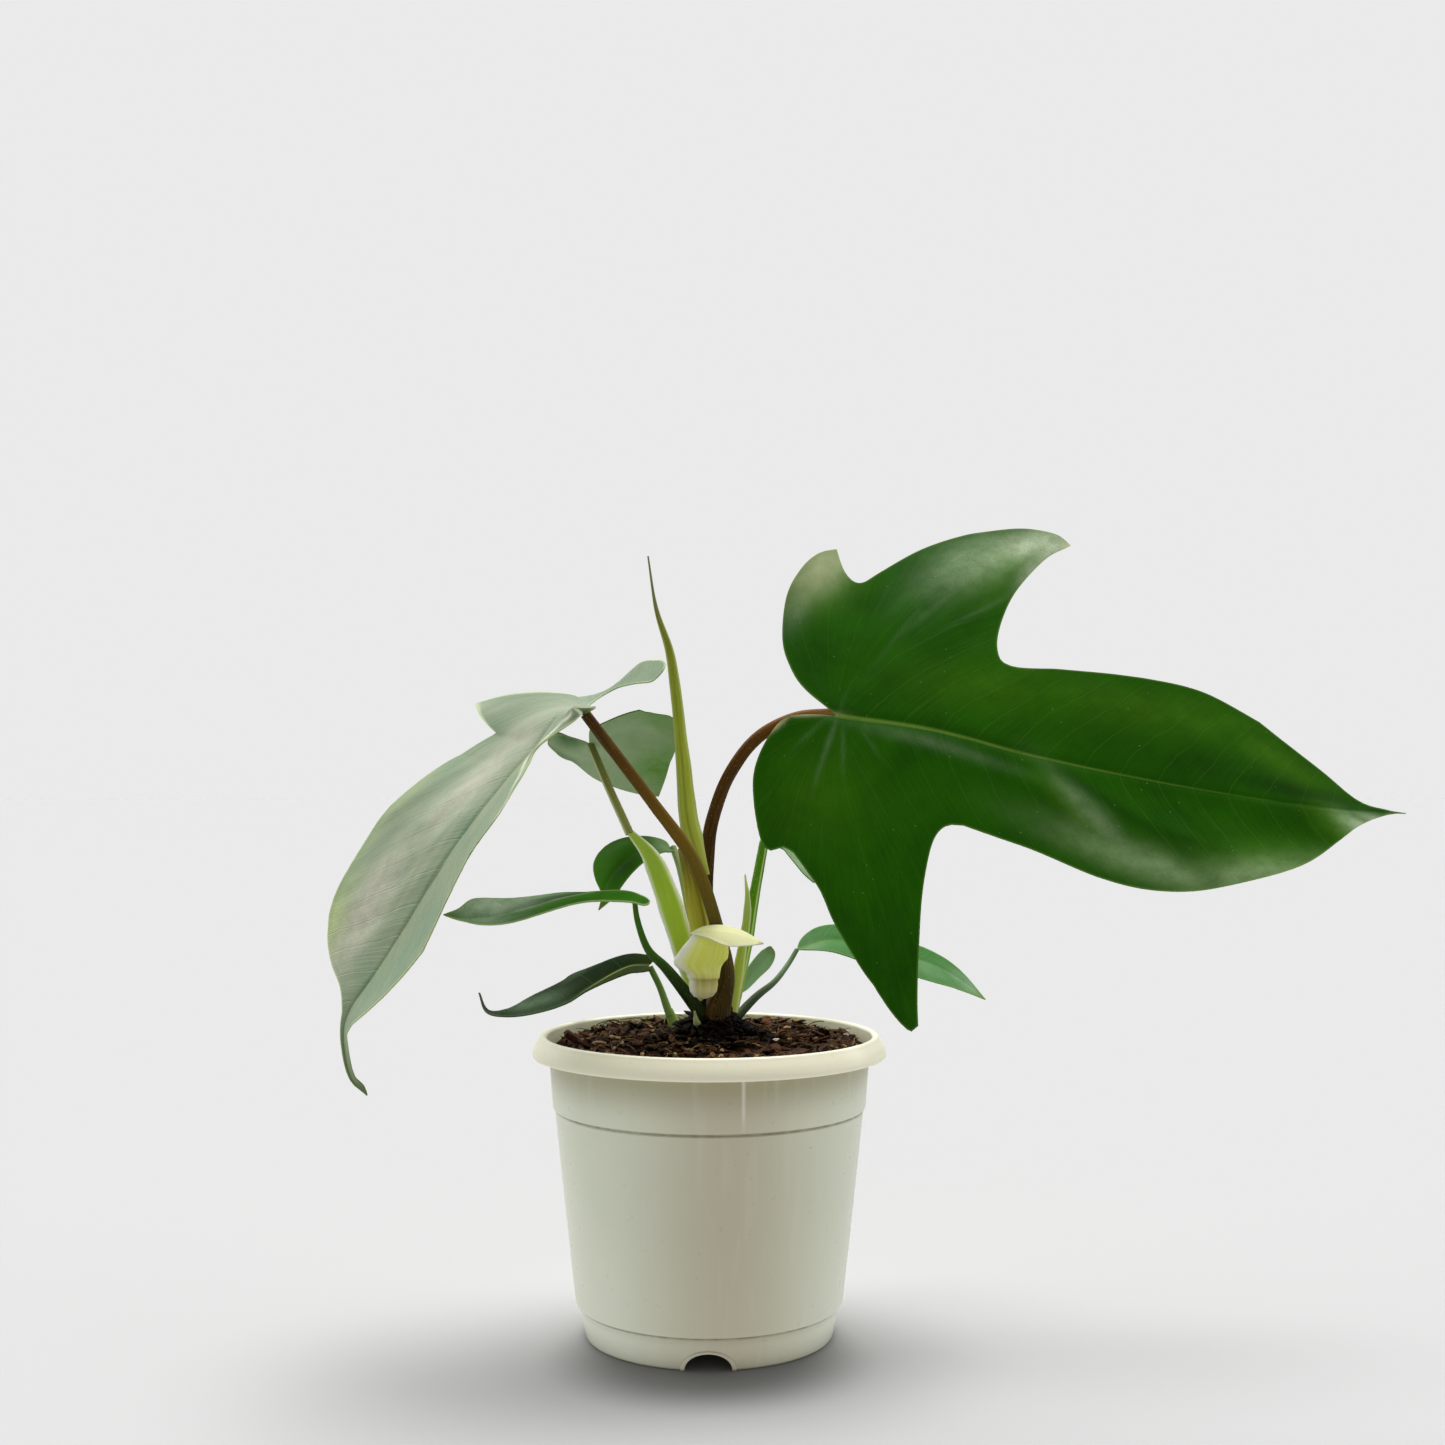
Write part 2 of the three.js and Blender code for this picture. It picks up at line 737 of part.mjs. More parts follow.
// Each piece gives way to the ones listed before it, so that all keep the gap.
const pieces = [
  ["pot", potSolid, "pot", 0.4],
  ["stem", stemSolid, "stem", 0.9],
  ["cataphyll", (grow) => stalkSolid(cataphyll, grow), "cream", 0.5],
  ["cataphyll_flap", (grow) => bladeSolid(cataphyllFlap, grow), "cream", 0.5],
  ["bud", (grow) => stalkSolid(bud, grow), "cream", 0.6],
  ["leaf_right", (grow) => bladeSolid(leafRight, grow), "deepGreen", 0.3],
  ["leaf_left", (grow) => bladeSolid(leafLeft, grow), "paleGreen", 0.3],
  ["leaf_back", (grow) => bladeSolid(leafBack, grow), "underside", 0.5],
  ["leaf_small", (grow) => bladeSolid(leafSmall, grow), "deepGreen", 0.4],
  ["leaf_middle", (grow) => bladeSolid(leafMiddle, grow), "deepGreen", 0.4],
  ["leaf_low", (grow) => bladeSolid(leafLow, grow), "darkGreen", 0.4],
  ["leaf_far", (grow) => bladeSolid(leafFar, grow), "deepGreen", 0.4],
  ["leaf_narrow", (grow) => bladeSolid(leafNarrow, grow), "underside", 0.5],
  ["leaf_inner", (grow) => bladeSolid(leafInner, grow), "deepGreen", 0.4],
  ["petiole_left", (grow) => stalkSolid(petioleLeft, grow), "brownStalk", 0.5],
  ["spear_leaf", (grow) => stalkSolid(spearLeaf, grow), "oliveStalk", 0.5],
  ["spear_sheath", (grow) => stalkSolid(spearSheath, grow), "oliveStalk", 0.5],
  ["petiole_right", (grow) => stalkSolid(petioleRight, grow), "brownStalk", 0.5],
  ["sheath_back", (grow) => stalkSolid(sheathBack, grow), "brightStalk", 0.5],
  ["petiole_back", (grow) => stalkSolid(petioleBack, grow), "darkGreen", 0.5],
  ["petiole_small", (grow) => stalkSolid(petioleSmall, grow), "oliveStalk", 0.5],
  ["petiole_middle", (grow) => stalkSolid(petioleMiddle, grow), "darkGreen", 0.5],
  ["petiole_low", (grow) => stalkSolid(petioleLow, grow), "darkGreen", 0.5],
  ["sheath_low", (grow) => stalkSolid(sheathLow, grow), "oliveStalk", 0.5],
  ["petiole_inner", (grow) => stalkSolid(petioleInner, grow), "brightStalk", 0.5],
  ["sheath_inner", (grow) => stalkSolid(sheathInner, grow), "brightStalk", 0.5],
  ["petiole_far", (grow) => stalkSolid(petioleFar, grow), "darkGreen", 0.5],
  ...barkChips.map((chip, k) => [`bark_chip_${k + 1}`, (grow) => chipSolid(chip, grow), "bark", 0.9]),
  ...perliteBeads.map((bead, k) => [`perlite_${k + 1}`, (grow) => beadSolid(bead, grow), "perlite", 0.9]),
  ["soil", soilSolid, "soil", 1],
];

function boxesMeet(a, b) {
  const [first, second] = [a.boundingBox(), b.boundingBox()];
  return [0, 1, 2].every(
    (axis) => first.min[axis] < second.max[axis] + gap && second.min[axis] < first.max[axis] + gap,
  );
}

const plant = new THREE.Group();
const grown = [];
for (const [name, make, colour, roughness] of pieces) {
  let body = make(0);
  for (const earlier of grown) {
    if (boxesMeet(body, earlier)) body = body.subtract(earlier);
  }
  body = largestBody(body);
  // the pot and the soil keep their own gap, which their profiles hold
  if (name !== "pot") grown.push(make(gap));
  const mesh = new THREE.Mesh(
    geometryOf(body),
    new THREE.MeshStandardMaterial({ color: colours[colour], roughness, metalness: 0 }),
  );
  mesh.name = name;
  plant.add(mesh);
}

const box = new THREE.Box3().setFromObject(plant);
const middle = box.getCenter(new THREE.Vector3());
plant.position.set(-middle.x, -middle.y, -box.min.z);

export default plant;
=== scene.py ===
# A young lobed philodendron in a cream nursery pot, on the imported model as a fixed frame.
# Sizes below are millimetres about the pot's axis; meshes are metres in the frame.
import math
import random
import bpy
import numpy as np
from mathutils import Euler, Matrix, Vector, noise


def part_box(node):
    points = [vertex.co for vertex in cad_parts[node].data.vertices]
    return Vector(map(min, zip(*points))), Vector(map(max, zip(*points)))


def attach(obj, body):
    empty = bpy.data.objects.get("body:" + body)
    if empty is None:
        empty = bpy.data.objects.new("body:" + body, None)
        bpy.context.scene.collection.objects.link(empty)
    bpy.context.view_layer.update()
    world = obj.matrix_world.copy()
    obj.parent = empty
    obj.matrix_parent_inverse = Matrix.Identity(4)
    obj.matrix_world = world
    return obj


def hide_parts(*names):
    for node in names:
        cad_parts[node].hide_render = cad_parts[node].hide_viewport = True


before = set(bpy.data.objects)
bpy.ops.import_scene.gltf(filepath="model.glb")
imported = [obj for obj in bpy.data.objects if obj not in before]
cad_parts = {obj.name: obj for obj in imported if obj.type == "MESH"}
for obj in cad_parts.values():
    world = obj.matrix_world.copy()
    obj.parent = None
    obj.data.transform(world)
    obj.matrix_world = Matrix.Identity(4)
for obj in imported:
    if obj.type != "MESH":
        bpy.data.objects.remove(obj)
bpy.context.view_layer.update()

mm = 0.001
potLow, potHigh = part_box("pot")
potAxis = np.array([(potLow.x + potHigh.x) / 2, (potLow.y + potHigh.y) / 2, potLow.z])
random.seed(11)
print("frame loaded")


def deselectAll():
    if bpy.context.mode != "OBJECT":
        bpy.ops.object.mode_set(mode="OBJECT")
    bpy.ops.object.select_all(action="DESELECT")


def pick(piece):
    deselectAll()
    piece.select_set(True)
    bpy.context.view_layer.objects.active = piece


def applyModifier(piece, kind, **settings):
    pick(piece)
    modifier = piece.modifiers.new(kind.title(), kind)
    for key, value in settings.items():
        setattr(modifier, key, value)
    bpy.ops.object.modifier_apply(modifier=modifier.name)


def smoothBy(piece, degrees):
    pick(piece)
    bpy.ops.object.shade_smooth_by_angle(angle=math.radians(degrees))
    return piece


def cutAcross(axis, places):
    # cuts the whole mesh in edit mode, straight across one axis at each place
    normal = [float(k == axis) for k in range(3)]
    for place in places:
        bpy.ops.mesh.select_all(action="SELECT")
        bpy.ops.mesh.bisect(plane_co=[place * n for n in normal], plane_no=normal)


def vertexPlaces(piece):
    flat = np.empty(len(piece.data.vertices) * 3)
    piece.data.vertices.foreach_get("co", flat)
    return flat.reshape(-1, 3)


def moveVertices(piece, places):
    piece.data.vertices.foreach_set("co", np.ascontiguousarray(places, dtype=np.float64).ravel())
    piece.data.update()


def storeVectors(piece, name, values):
    layer = piece.data.attributes.new(name, "FLOAT_VECTOR", "POINT")
    layer.data.foreach_set("vector", np.ascontiguousarray(values, dtype=np.float32).ravel())


def storeMillimetreUv(piece, u, v):
    # the flat outline, kept as the piece's own UV map: 250 mm fill it
    layers = piece.data.uv_layers
    layer = layers[0] if layers else layers.new(name="bladeMillimetres")
    loops = np.empty(len(piece.data.loops), dtype=np.int32)
    piece.data.loops.foreach_get("vertex_index", loops)
    layer.data.foreach_set("uv", np.stack([u[loops], v[loops]], -1).astype(np.float32).ravel() * 0.004)


def ringedCylinder(name, sides, rings):
    # an upright unit cylinder cut into rings; returns each vertex's height, turn and reach too
    deselectAll()
    bpy.ops.mesh.primitive_cylinder_add(vertices=sides, radius=1, depth=1, end_fill_type="TRIFAN")
    piece = bpy.context.object
    piece.name = name
    bpy.ops.object.mode_set(mode="EDIT")
    cutAcross(2, [k / rings - 0.5 for k in range(1, rings)])
    bpy.ops.object.mode_set(mode="OBJECT")
    x, y, z = vertexPlaces(piece).T
    return piece, z + 0.5, np.arctan2(y, x), np.hypot(x, y)


def finishPiece(piece, slotName, *nodes):
    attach(piece, "root")
    if nodes:
        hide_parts(*nodes)
    return piece


def toFrame(places):
    return np.asarray(places) * mm + potAxis


def unitRows(rows):
    return rows / np.linalg.norm(rows, axis=-1, keepdims=True)


def alongCurve(values, lengths, here):
    return np.stack([np.interp(here, lengths, values[:, k]) for k in range(3)], -1)


def bentCurve(route, steps=300):
    # a centripetal Catmull-Rom curve through the route, with its tangents and lengths
    route = np.asarray(route, float)
    last = len(route) - 1
    points = []
    for t in np.linspace(0, 1, steps + 1):
        k = min(int(t * last), last - 1)
        w = t * last - k
        p1, p2 = route[k], route[k + 1]
        p0 = route[k - 1] if k > 0 else 2 * p1 - p2
        p3 = route[k + 2] if k + 2 <= last else 2 * p2 - p1
        d0, d1, d2 = (np.linalg.norm(b - a) ** 0.5 for a, b in ((p0, p1), (p1, p2), (p2, p3)))
        leave = ((p1 - p0) / d0 - (p2 - p0) / (d0 + d1) + (p2 - p1) / d1) * d1
        arrive = ((p2 - p1) / d1 - (p3 - p1) / (d1 + d2) + (p3 - p2) / d2) * d1
        points.append(
            p1 + leave * w + (3 * (p2 - p1) - 2 * leave - arrive) * w * w
            + (2 * (p1 - p2) + leave + arrive) * w ** 3
        )
    points = np.array(points)
    lengths = np.concatenate([[0], np.cumsum(np.linalg.norm(np.diff(points, axis=0), axis=1))])
    return points, unitRows(np.gradient(points, axis=0)), lengths


def outlinePoints(outline, spacing):
    # each stretch is smooth; two stretches meet at a pointed tip or a notch
    points = []
    for stretch in outline:
        ends = np.asarray(stretch, float)
        last = len(ends) - 1
        for k in range(last):
            p0, p1, p2, p3 = ends[max(k - 1, 0)], ends[k], ends[k + 1], ends[min(k + 2, last)]
            v0, v1 = (p2 - p0) / 2, (p3 - p1) / 2
            cuts = max(1, round(float(np.linalg.norm(p2 - p1)) / spacing))
            for w in np.arange(cuts) / cuts:
                points.append(
                    (2 * p1 - 2 * p2 + v0 + v1) * w ** 3 + (3 * p2 - 3 * p1 - 2 * v0 - v1) * w * w
                    + v0 * w + p1
                )
    return np.array(points)


def edgeDistance(places, rim):
    # how far each place on the flat blade is from its margin
    best = np.full(len(places), 1e9)
    for a, b in zip(rim, np.roll(rim, -1, axis=0)):
        run = b - a
        t = np.clip(((places - a) @ run) / max(run @ run, 1e-9), 0, 1)
        best = np.minimum(best, np.linalg.norm(places - a - t[:, None] * run, axis=1))
    return best


def hexColour(text):
    parts = [int(text[k:k + 2], 16) / 255 for k in (1, 3, 5)]
    return (*[p / 12.92 if p <= 0.04045 else ((p + 0.055) / 1.055) ** 2.4 for p in parts], 1)


def addNode(tree, kind, settings=None, links=None):
    # one node with its settings and inputs: a socket, or a node's first output, is linked
    node = tree.nodes.new("ShaderNode" + kind)
    for key, value in (settings or {}).items():
        setattr(node, key, value)
    for key, value in (links or {}).items():
        if isinstance(value, bpy.types.Node):
            value = value.outputs[0]
        if isinstance(value, bpy.types.NodeSocket):
            tree.links.new(value, node.inputs[key])
        else:
            node.inputs[key].default_value = hexColour(value) if isinstance(value, str) else value
    return node


def paintLayers(tree, colour, layers):
    # lays colours over one another, each by the product of its shares
    for shade, share, *factors in layers:
        for factor in factors:
            share = addNode(tree, "Math", {"operation": "MULTIPLY"}, {0: share, 1: factor})
        colour = addNode(tree, "Mix", {"data_type": "RGBA"}, {0: share, 6: colour, 7: shade}).outputs[2]
    return colour


def nearness(tree, value, at, width, strength, settings=None):
    # full strength where the value is at one number, and none from the width outwards
    away = addNode(tree, "Math", {"operation": "SUBTRACT"}, {0: value, 1: at})
    distance = addNode(tree, "Math", {"operation": "ABSOLUTE"}, {0: away})
    return addNode(tree, "MapRange", settings or smoothStep,
                   {"Value": distance, "From Max": width, "To Min": strength, "To Max": 0.0})


def newMaterial(name):
    material = bpy.data.materials.new(name)
    material.use_nodes = True
    material.node_tree.nodes.clear()
    return material, material.node_tree


def closeMaterial(tree, shader):
    addNode(tree, "OutputMaterial", None, {"Surface": shader})


smoothStep = {"interpolation_type": "SMOOTHSTEP"}
print("helpers ready")

cameraSet = {
    "place": (4.65, -641.2, 193.4),
    "pitch": 0.033,  # radians above level
    "lens": 44.84, "sensor": 36,
}
deselectAll()
bpy.ops.object.camera_add(
    location=tuple(toFrame(cameraSet["place"])), rotation=(math.pi / 2 + cameraSet["pitch"], 0, 0)
)
camera = bpy.context.object
camera.name = "studio_camera"
camera.data.lens = cameraSet["lens"]
camera.data.sensor_width = cameraSet["sensor"]
camera.data.clip_start = 0.01
scene = bpy.context.scene
scene.camera = camera
scene.view_settings.view_transform = "Standard"
scene.view_settings.look = "None"

# Soft light from a white room: wide soft lobes overhead, behind, on both sides and in front.
worldSet = {
    "ambient": 0.06,
    "tint": "#ffffff",
    "seen": 0.823,  # the plain backdrop, as the camera sees it
    "lobes": [  # direction, where the lobe begins, where it is full, strength
        ((0.0, 0.3, 1.0), 0.88, 0.985, 8.2),
        ((-0.2, 0.85, 0.7), 0.5, 0.95, 0.9),
        ((-0.9, 0.25, 0.4), 0.65, 0.95, 1.2),
        ((0.9, 0.25, 0.4), 0.65, 0.95, 1.05),
        ((0.0, -0.9, 0.3), 0.3, 0.95, 0.28),
    ],
}
world = bpy.data.worlds.new("white_room")
scene.world = world
world.use_nodes = True
sky = world.node_tree
sky.nodes.clear()
looking = addNode(sky, "TexCoord").outputs["Generated"]
total = worldSet["ambient"]
for direction, begins, full, strength in worldSet["lobes"]:
    towards = addNode(sky, "VectorMath", {"operation": "DOT_PRODUCT"},
                      {0: looking, 1: tuple(Vector(direction).normalized())})
    lobe = addNode(sky, "MapRange", smoothStep, {
        "Value": towards.outputs["Value"], "From Min": begins, "From Max": full, "To Max": strength})
    total = addNode(sky, "Math", {"operation": "ADD"}, {0: total, 1: lobe})
roomLight = addNode(sky, "Background", None, {"Color": worldSet["tint"], "Strength": total})
backdrop = addNode(sky, "Background", None, {"Color": worldSet["tint"], "Strength": worldSet["seen"]})
seenDirectly = addNode(sky, "LightPath").outputs["Is Camera Ray"]
chosen = addNode(sky, "MixShader", None, {0: seenDirectly, 1: roomLight, 2: backdrop})
addNode(sky, "OutputWorld", None, {"Surface": chosen})

# The wide white floor fills the object's shaded sides, less so right under the pot, and its paper
# has a painted shadow: darker at the pot's front, where the pot keeps the room's light off it.
floorSet = {
    "size": 40.0, "colour": 0.472, "glow": 0.76, "dim": (0.040, 0.052),
    "paintedShadowForward": 0.030, "shade": (0.026, 0.060), "paintedShadowShare": 0.5,
}
deselectAll()
bpy.ops.mesh.primitive_plane_add(size=floorSet["size"], location=(0, 0, -0.0002))
floor = bpy.context.object
floor.name = "studio_floor"
floorPaper, tree = newMaterial("matt_white_paper_floor")
floorPlace = addNode(tree, "TexCoord").outputs["Object"]
fromFront, fromPot = (
    addNode(tree, "VectorMath", {"operation": "DISTANCE"},
            {0: floorPlace, 1: (potAxis[0], potAxis[1] - forward, 0)}).outputs["Value"]
    for forward in (floorSet["paintedShadowForward"], 0)
)
# painted shadow: the paper's colour darkens towards the pot's front
shade = addNode(tree, "MapRange", smoothStep, {
    "Value": fromFront, "From Min": floorSet["shade"][0], "From Max": floorSet["shade"][1],
    "To Min": floorSet["paintedShadowShare"] * floorSet["colour"], "To Max": floorSet["colour"]})
grey = addNode(tree, "CombineColor", None, {0: shade, 1: shade, 2: shade})
paper = addNode(tree, "BsdfDiffuse", None, {"Color": grey})
reach = addNode(tree, "MapRange", None, {
    "Value": fromPot, "From Min": floorSet["dim"][0], "From Max": floorSet["dim"][1],
    "To Max": floorSet["glow"]})
glow = addNode(tree, "Emission", None, {"Strength": reach})
seenDirectly = addNode(tree, "LightPath").outputs["Is Camera Ray"]
closeMaterial(tree, addNode(tree, "MixShader", None, {0: seenDirectly, 1: glow, 2: paper}))
floorPaper.cycles.emission_sampling = "NONE"
floor.data.materials.append(floorPaper)
print("camera and room ready")

potSet = {
    "height": 104.5, "rimRadius": 62.5, "rimDrop": 7.3, "mouthRadius": 57.4, "collarRadius": 56.6,
    "stepHeight": 79, "stepRadius": 54.4, "bodyFootRadius": 47, "footHeight": 11, "footRadius": 45.6,
    "baseRadius": 43.4, "wall": 1.4, "floorUnder": 7, "floorThick": 1.6,
    "segments": 160,
    "arch": {"count": 3, "width": 17, "height": 6.2, "centreAngle": -90, "lip": 0.75},
    "drain": {"count": 6, "radius": 3.5, "circle": 27},
    "wallColours": ("#d9dec6", "#e6e9d4"), "frontBandTintAndShade": "#c8c1a6", "collar": "#968f68", "rim": "#fdf8dc",
    "ledgeLineColour": "#7d7759", "scuff": "#6a6250", "partingLineHighlight": "#f2f2e8", "flowLine": "#eff0e2",
}


def innerRadius(z):
    step, foot = potSet["stepHeight"], potSet["footHeight"]
    low, high = potSet["bodyFootRadius"] - potSet["wall"], potSet["stepRadius"] - potSet["wall"]
    if z < step:
        return low + (high - low) * (z - foot) / (step - foot)
    return high + (potSet["mouthRadius"] - high) * (z - step) / (potSet["height"] - step)


def potPiece(p):
    top, step, foot, under = p["height"], p["stepHeight"], p["footHeight"], p["floorUnder"]
    rimLow, floorTop, footInner = top - p["rimDrop"], under + p["floorThick"], p["baseRadius"] - p["wall"]
    rimR, mouthR, collarR, stepR, bodyR, footR, baseR = (
        p[part + "Radius"] for part in ("rim", "mouth", "collar", "step", "bodyFoot", "foot", "base"))
    half = (rimR - mouthR - 2.6) / 2
    rollArc = [
        (mouthR + half * (1 + math.cos(turn)), top - 1.1 + 1.1 * math.sin(turn))
        for turn in np.linspace(0.25, math.pi, 12)
    ]
    # radius and height, from the underside outwards, up the outside, over the rim and down inside
    profile = [
        (0, under), (footInner - 0.6, under), (footInner, under - 0.6), (footInner, 0.4),
        (footInner + 0.3, 0), (baseR - 0.3, 0), (baseR + 0.05, 0.4), (footR - 0.1, foot - 0.9),
        (footR - 0.45, foot - 0.35), (footR - 0.2, foot + 0.05), (bodyR - 0.35, foot + 0.5),
        (bodyR + 0.05, foot + 1.4), (50.7, 45), (stepR - 0.1, step - 1.0), (stepR - 0.5, step - 0.4),
        (stepR - 0.3, step), (stepR + 0.55, step + 0.35), (stepR + 0.75, step + 0.9),
        (collarR - 0.1, rimLow + 0.2), (collarR + 0.5, rimLow + 0.7), (rimR - 2.2, rimLow + 0.45),
        (rimR - 1.0, rimLow), (rimR - 0.3, rimLow + 0.15), (rimR, rimLow + 0.8), (rimR - 0.2, rimLow + 1.9),
        (rimR - 0.65, rimLow + 3.2), (rimR - 1.25, rimLow + 4.4), (rimR - 2.05, rimLow + 5.6), *rollArc,
        (mouthR - 0.25, top - 3.0), (innerRadius(step + 2), step + 2), (innerRadius(step - 1), step - 1),
        (innerRadius(floorTop), floorTop + 0.5), (innerRadius(floorTop) - 0.5, floorTop), (0, floorTop),
    ]
    deselectAll()
    bpy.ops.mesh.primitive_circle_add(vertices=len(profile), radius=1, fill_type="NOTHING")
    piece = bpy.context.object
    piece.name = "nursery_pot"
    moveVertices(piece, [(r * mm, 0, z * mm) for r, z in profile])
    bpy.ops.object.mode_set(mode="EDIT")
    bpy.ops.mesh.select_all(action="DESELECT")
    bpy.ops.object.mode_set(mode="OBJECT")
    for edge in piece.data.edges:  # the edge along the axis isn't a surface
        edge.select = all(piece.data.vertices[k].co.x < 1e-6 for k in edge.vertices)
    bpy.ops.object.mode_set(mode="EDIT")
    bpy.ops.mesh.select_mode(type="EDGE")
    bpy.ops.mesh.delete(type="EDGE")
    bpy.ops.mesh.select_all(action="SELECT")
    bpy.ops.mesh.spin(steps=p["segments"], angle=2 * math.pi, center=(0, 0, 0), axis=(0, 0, 1))
    bpy.ops.mesh.select_all(action="SELECT")
    bpy.ops.mesh.remove_doubles(threshold=0.00002)
    bpy.ops.mesh.dissolve_degenerate(threshold=0.000005)
    bpy.ops.mesh.normals_make_consistent(inside=False)
    bpy.ops.object.mode_set(mode="OBJECT")
    arch, drain = p["arch"], p["drain"]
    archAngles = [math.radians(arch["centreAngle"] + 360 * k / arch["count"]) for k in range(arch["count"])]
    cutters = []
    for angle in archAngles:
        bpy.ops.mesh.primitive_cylinder_add(vertices=48, radius=arch["width"] / 2 * mm, depth=12 * mm)
        cutters.append(bpy.context.object)
        cutters[-1].data.transform(
            Matrix.Translation((baseR * mm * math.cos(angle), baseR * mm * math.sin(angle), 0))
            @ Matrix.Rotation(angle + math.pi / 2, 4, "Z")
            @ Matrix.Scale(arch["height"] / (arch["width"] / 2), 4, (0, 0, 1))
            @ Matrix.Rotation(math.pi / 2, 4, "X")
        )
    for k in range(drain["count"]):
        angle = 2 * math.pi * k / drain["count"]
        place = (drain["circle"] * mm * math.cos(angle), drain["circle"] * mm * math.sin(angle), under * mm)
        bpy.ops.mesh.primitive_cylinder_add(vertices=32, radius=drain["radius"] * mm, depth=8 * mm)
        cutters.append(bpy.context.object)
        cutters[-1].data.transform(Matrix.Translation(place))
    for cutter in cutters:
        applyModifier(piece, "BOOLEAN", operation="DIFFERENCE", object=cutter, solver="EXACT")
        bpy.data.objects.remove(cutter)
    lips = [archLip(p, angle) for angle in archAngles]
    pick(piece)
    for lip in lips:
        lip.select_set(True)
    bpy.ops.object.join()
    piece.data.transform(Matrix.Translation(Vector(potAxis)))
    return smoothBy(piece, 38)


def archLip(p, angle):
    # the rounded lip moulded around a foot notch, bent to the foot's wall
    arch = p["arch"]
    deselectAll()
    bpy.ops.mesh.primitive_torus_add(
        major_segments=64, minor_segments=12, major_radius=(arch["width"] / 2 + 0.15) * mm,
        minor_radius=arch["lip"] * mm, rotation=(math.pi / 2, 0, 0))
    lip = bpy.context.object
    bpy.ops.object.transform_apply(location=True, rotation=True, scale=True)
    bpy.ops.object.mode_set(mode="EDIT")
    bpy.ops.mesh.select_all(action="SELECT")
    bpy.ops.mesh.bisect(plane_co=(0, 0, 0.0001), plane_no=(0, 0, 1), clear_inner=True, use_fill=True)
    bpy.ops.object.mode_set(mode="OBJECT")
    for vertex in lip.data.vertices:
        z = vertex.co.z * arch["height"] / (arch["width"] / 2)
        wall = (p["baseRadius"] + (p["footRadius"] - p["baseRadius"]) * z / (p["footHeight"] * mm)) * mm
        out, turn = wall + vertex.co.y * 0.7, angle - vertex.co.x / wall
        vertex.co = (out * math.cos(turn), out * math.sin(turn), z)
    return lip


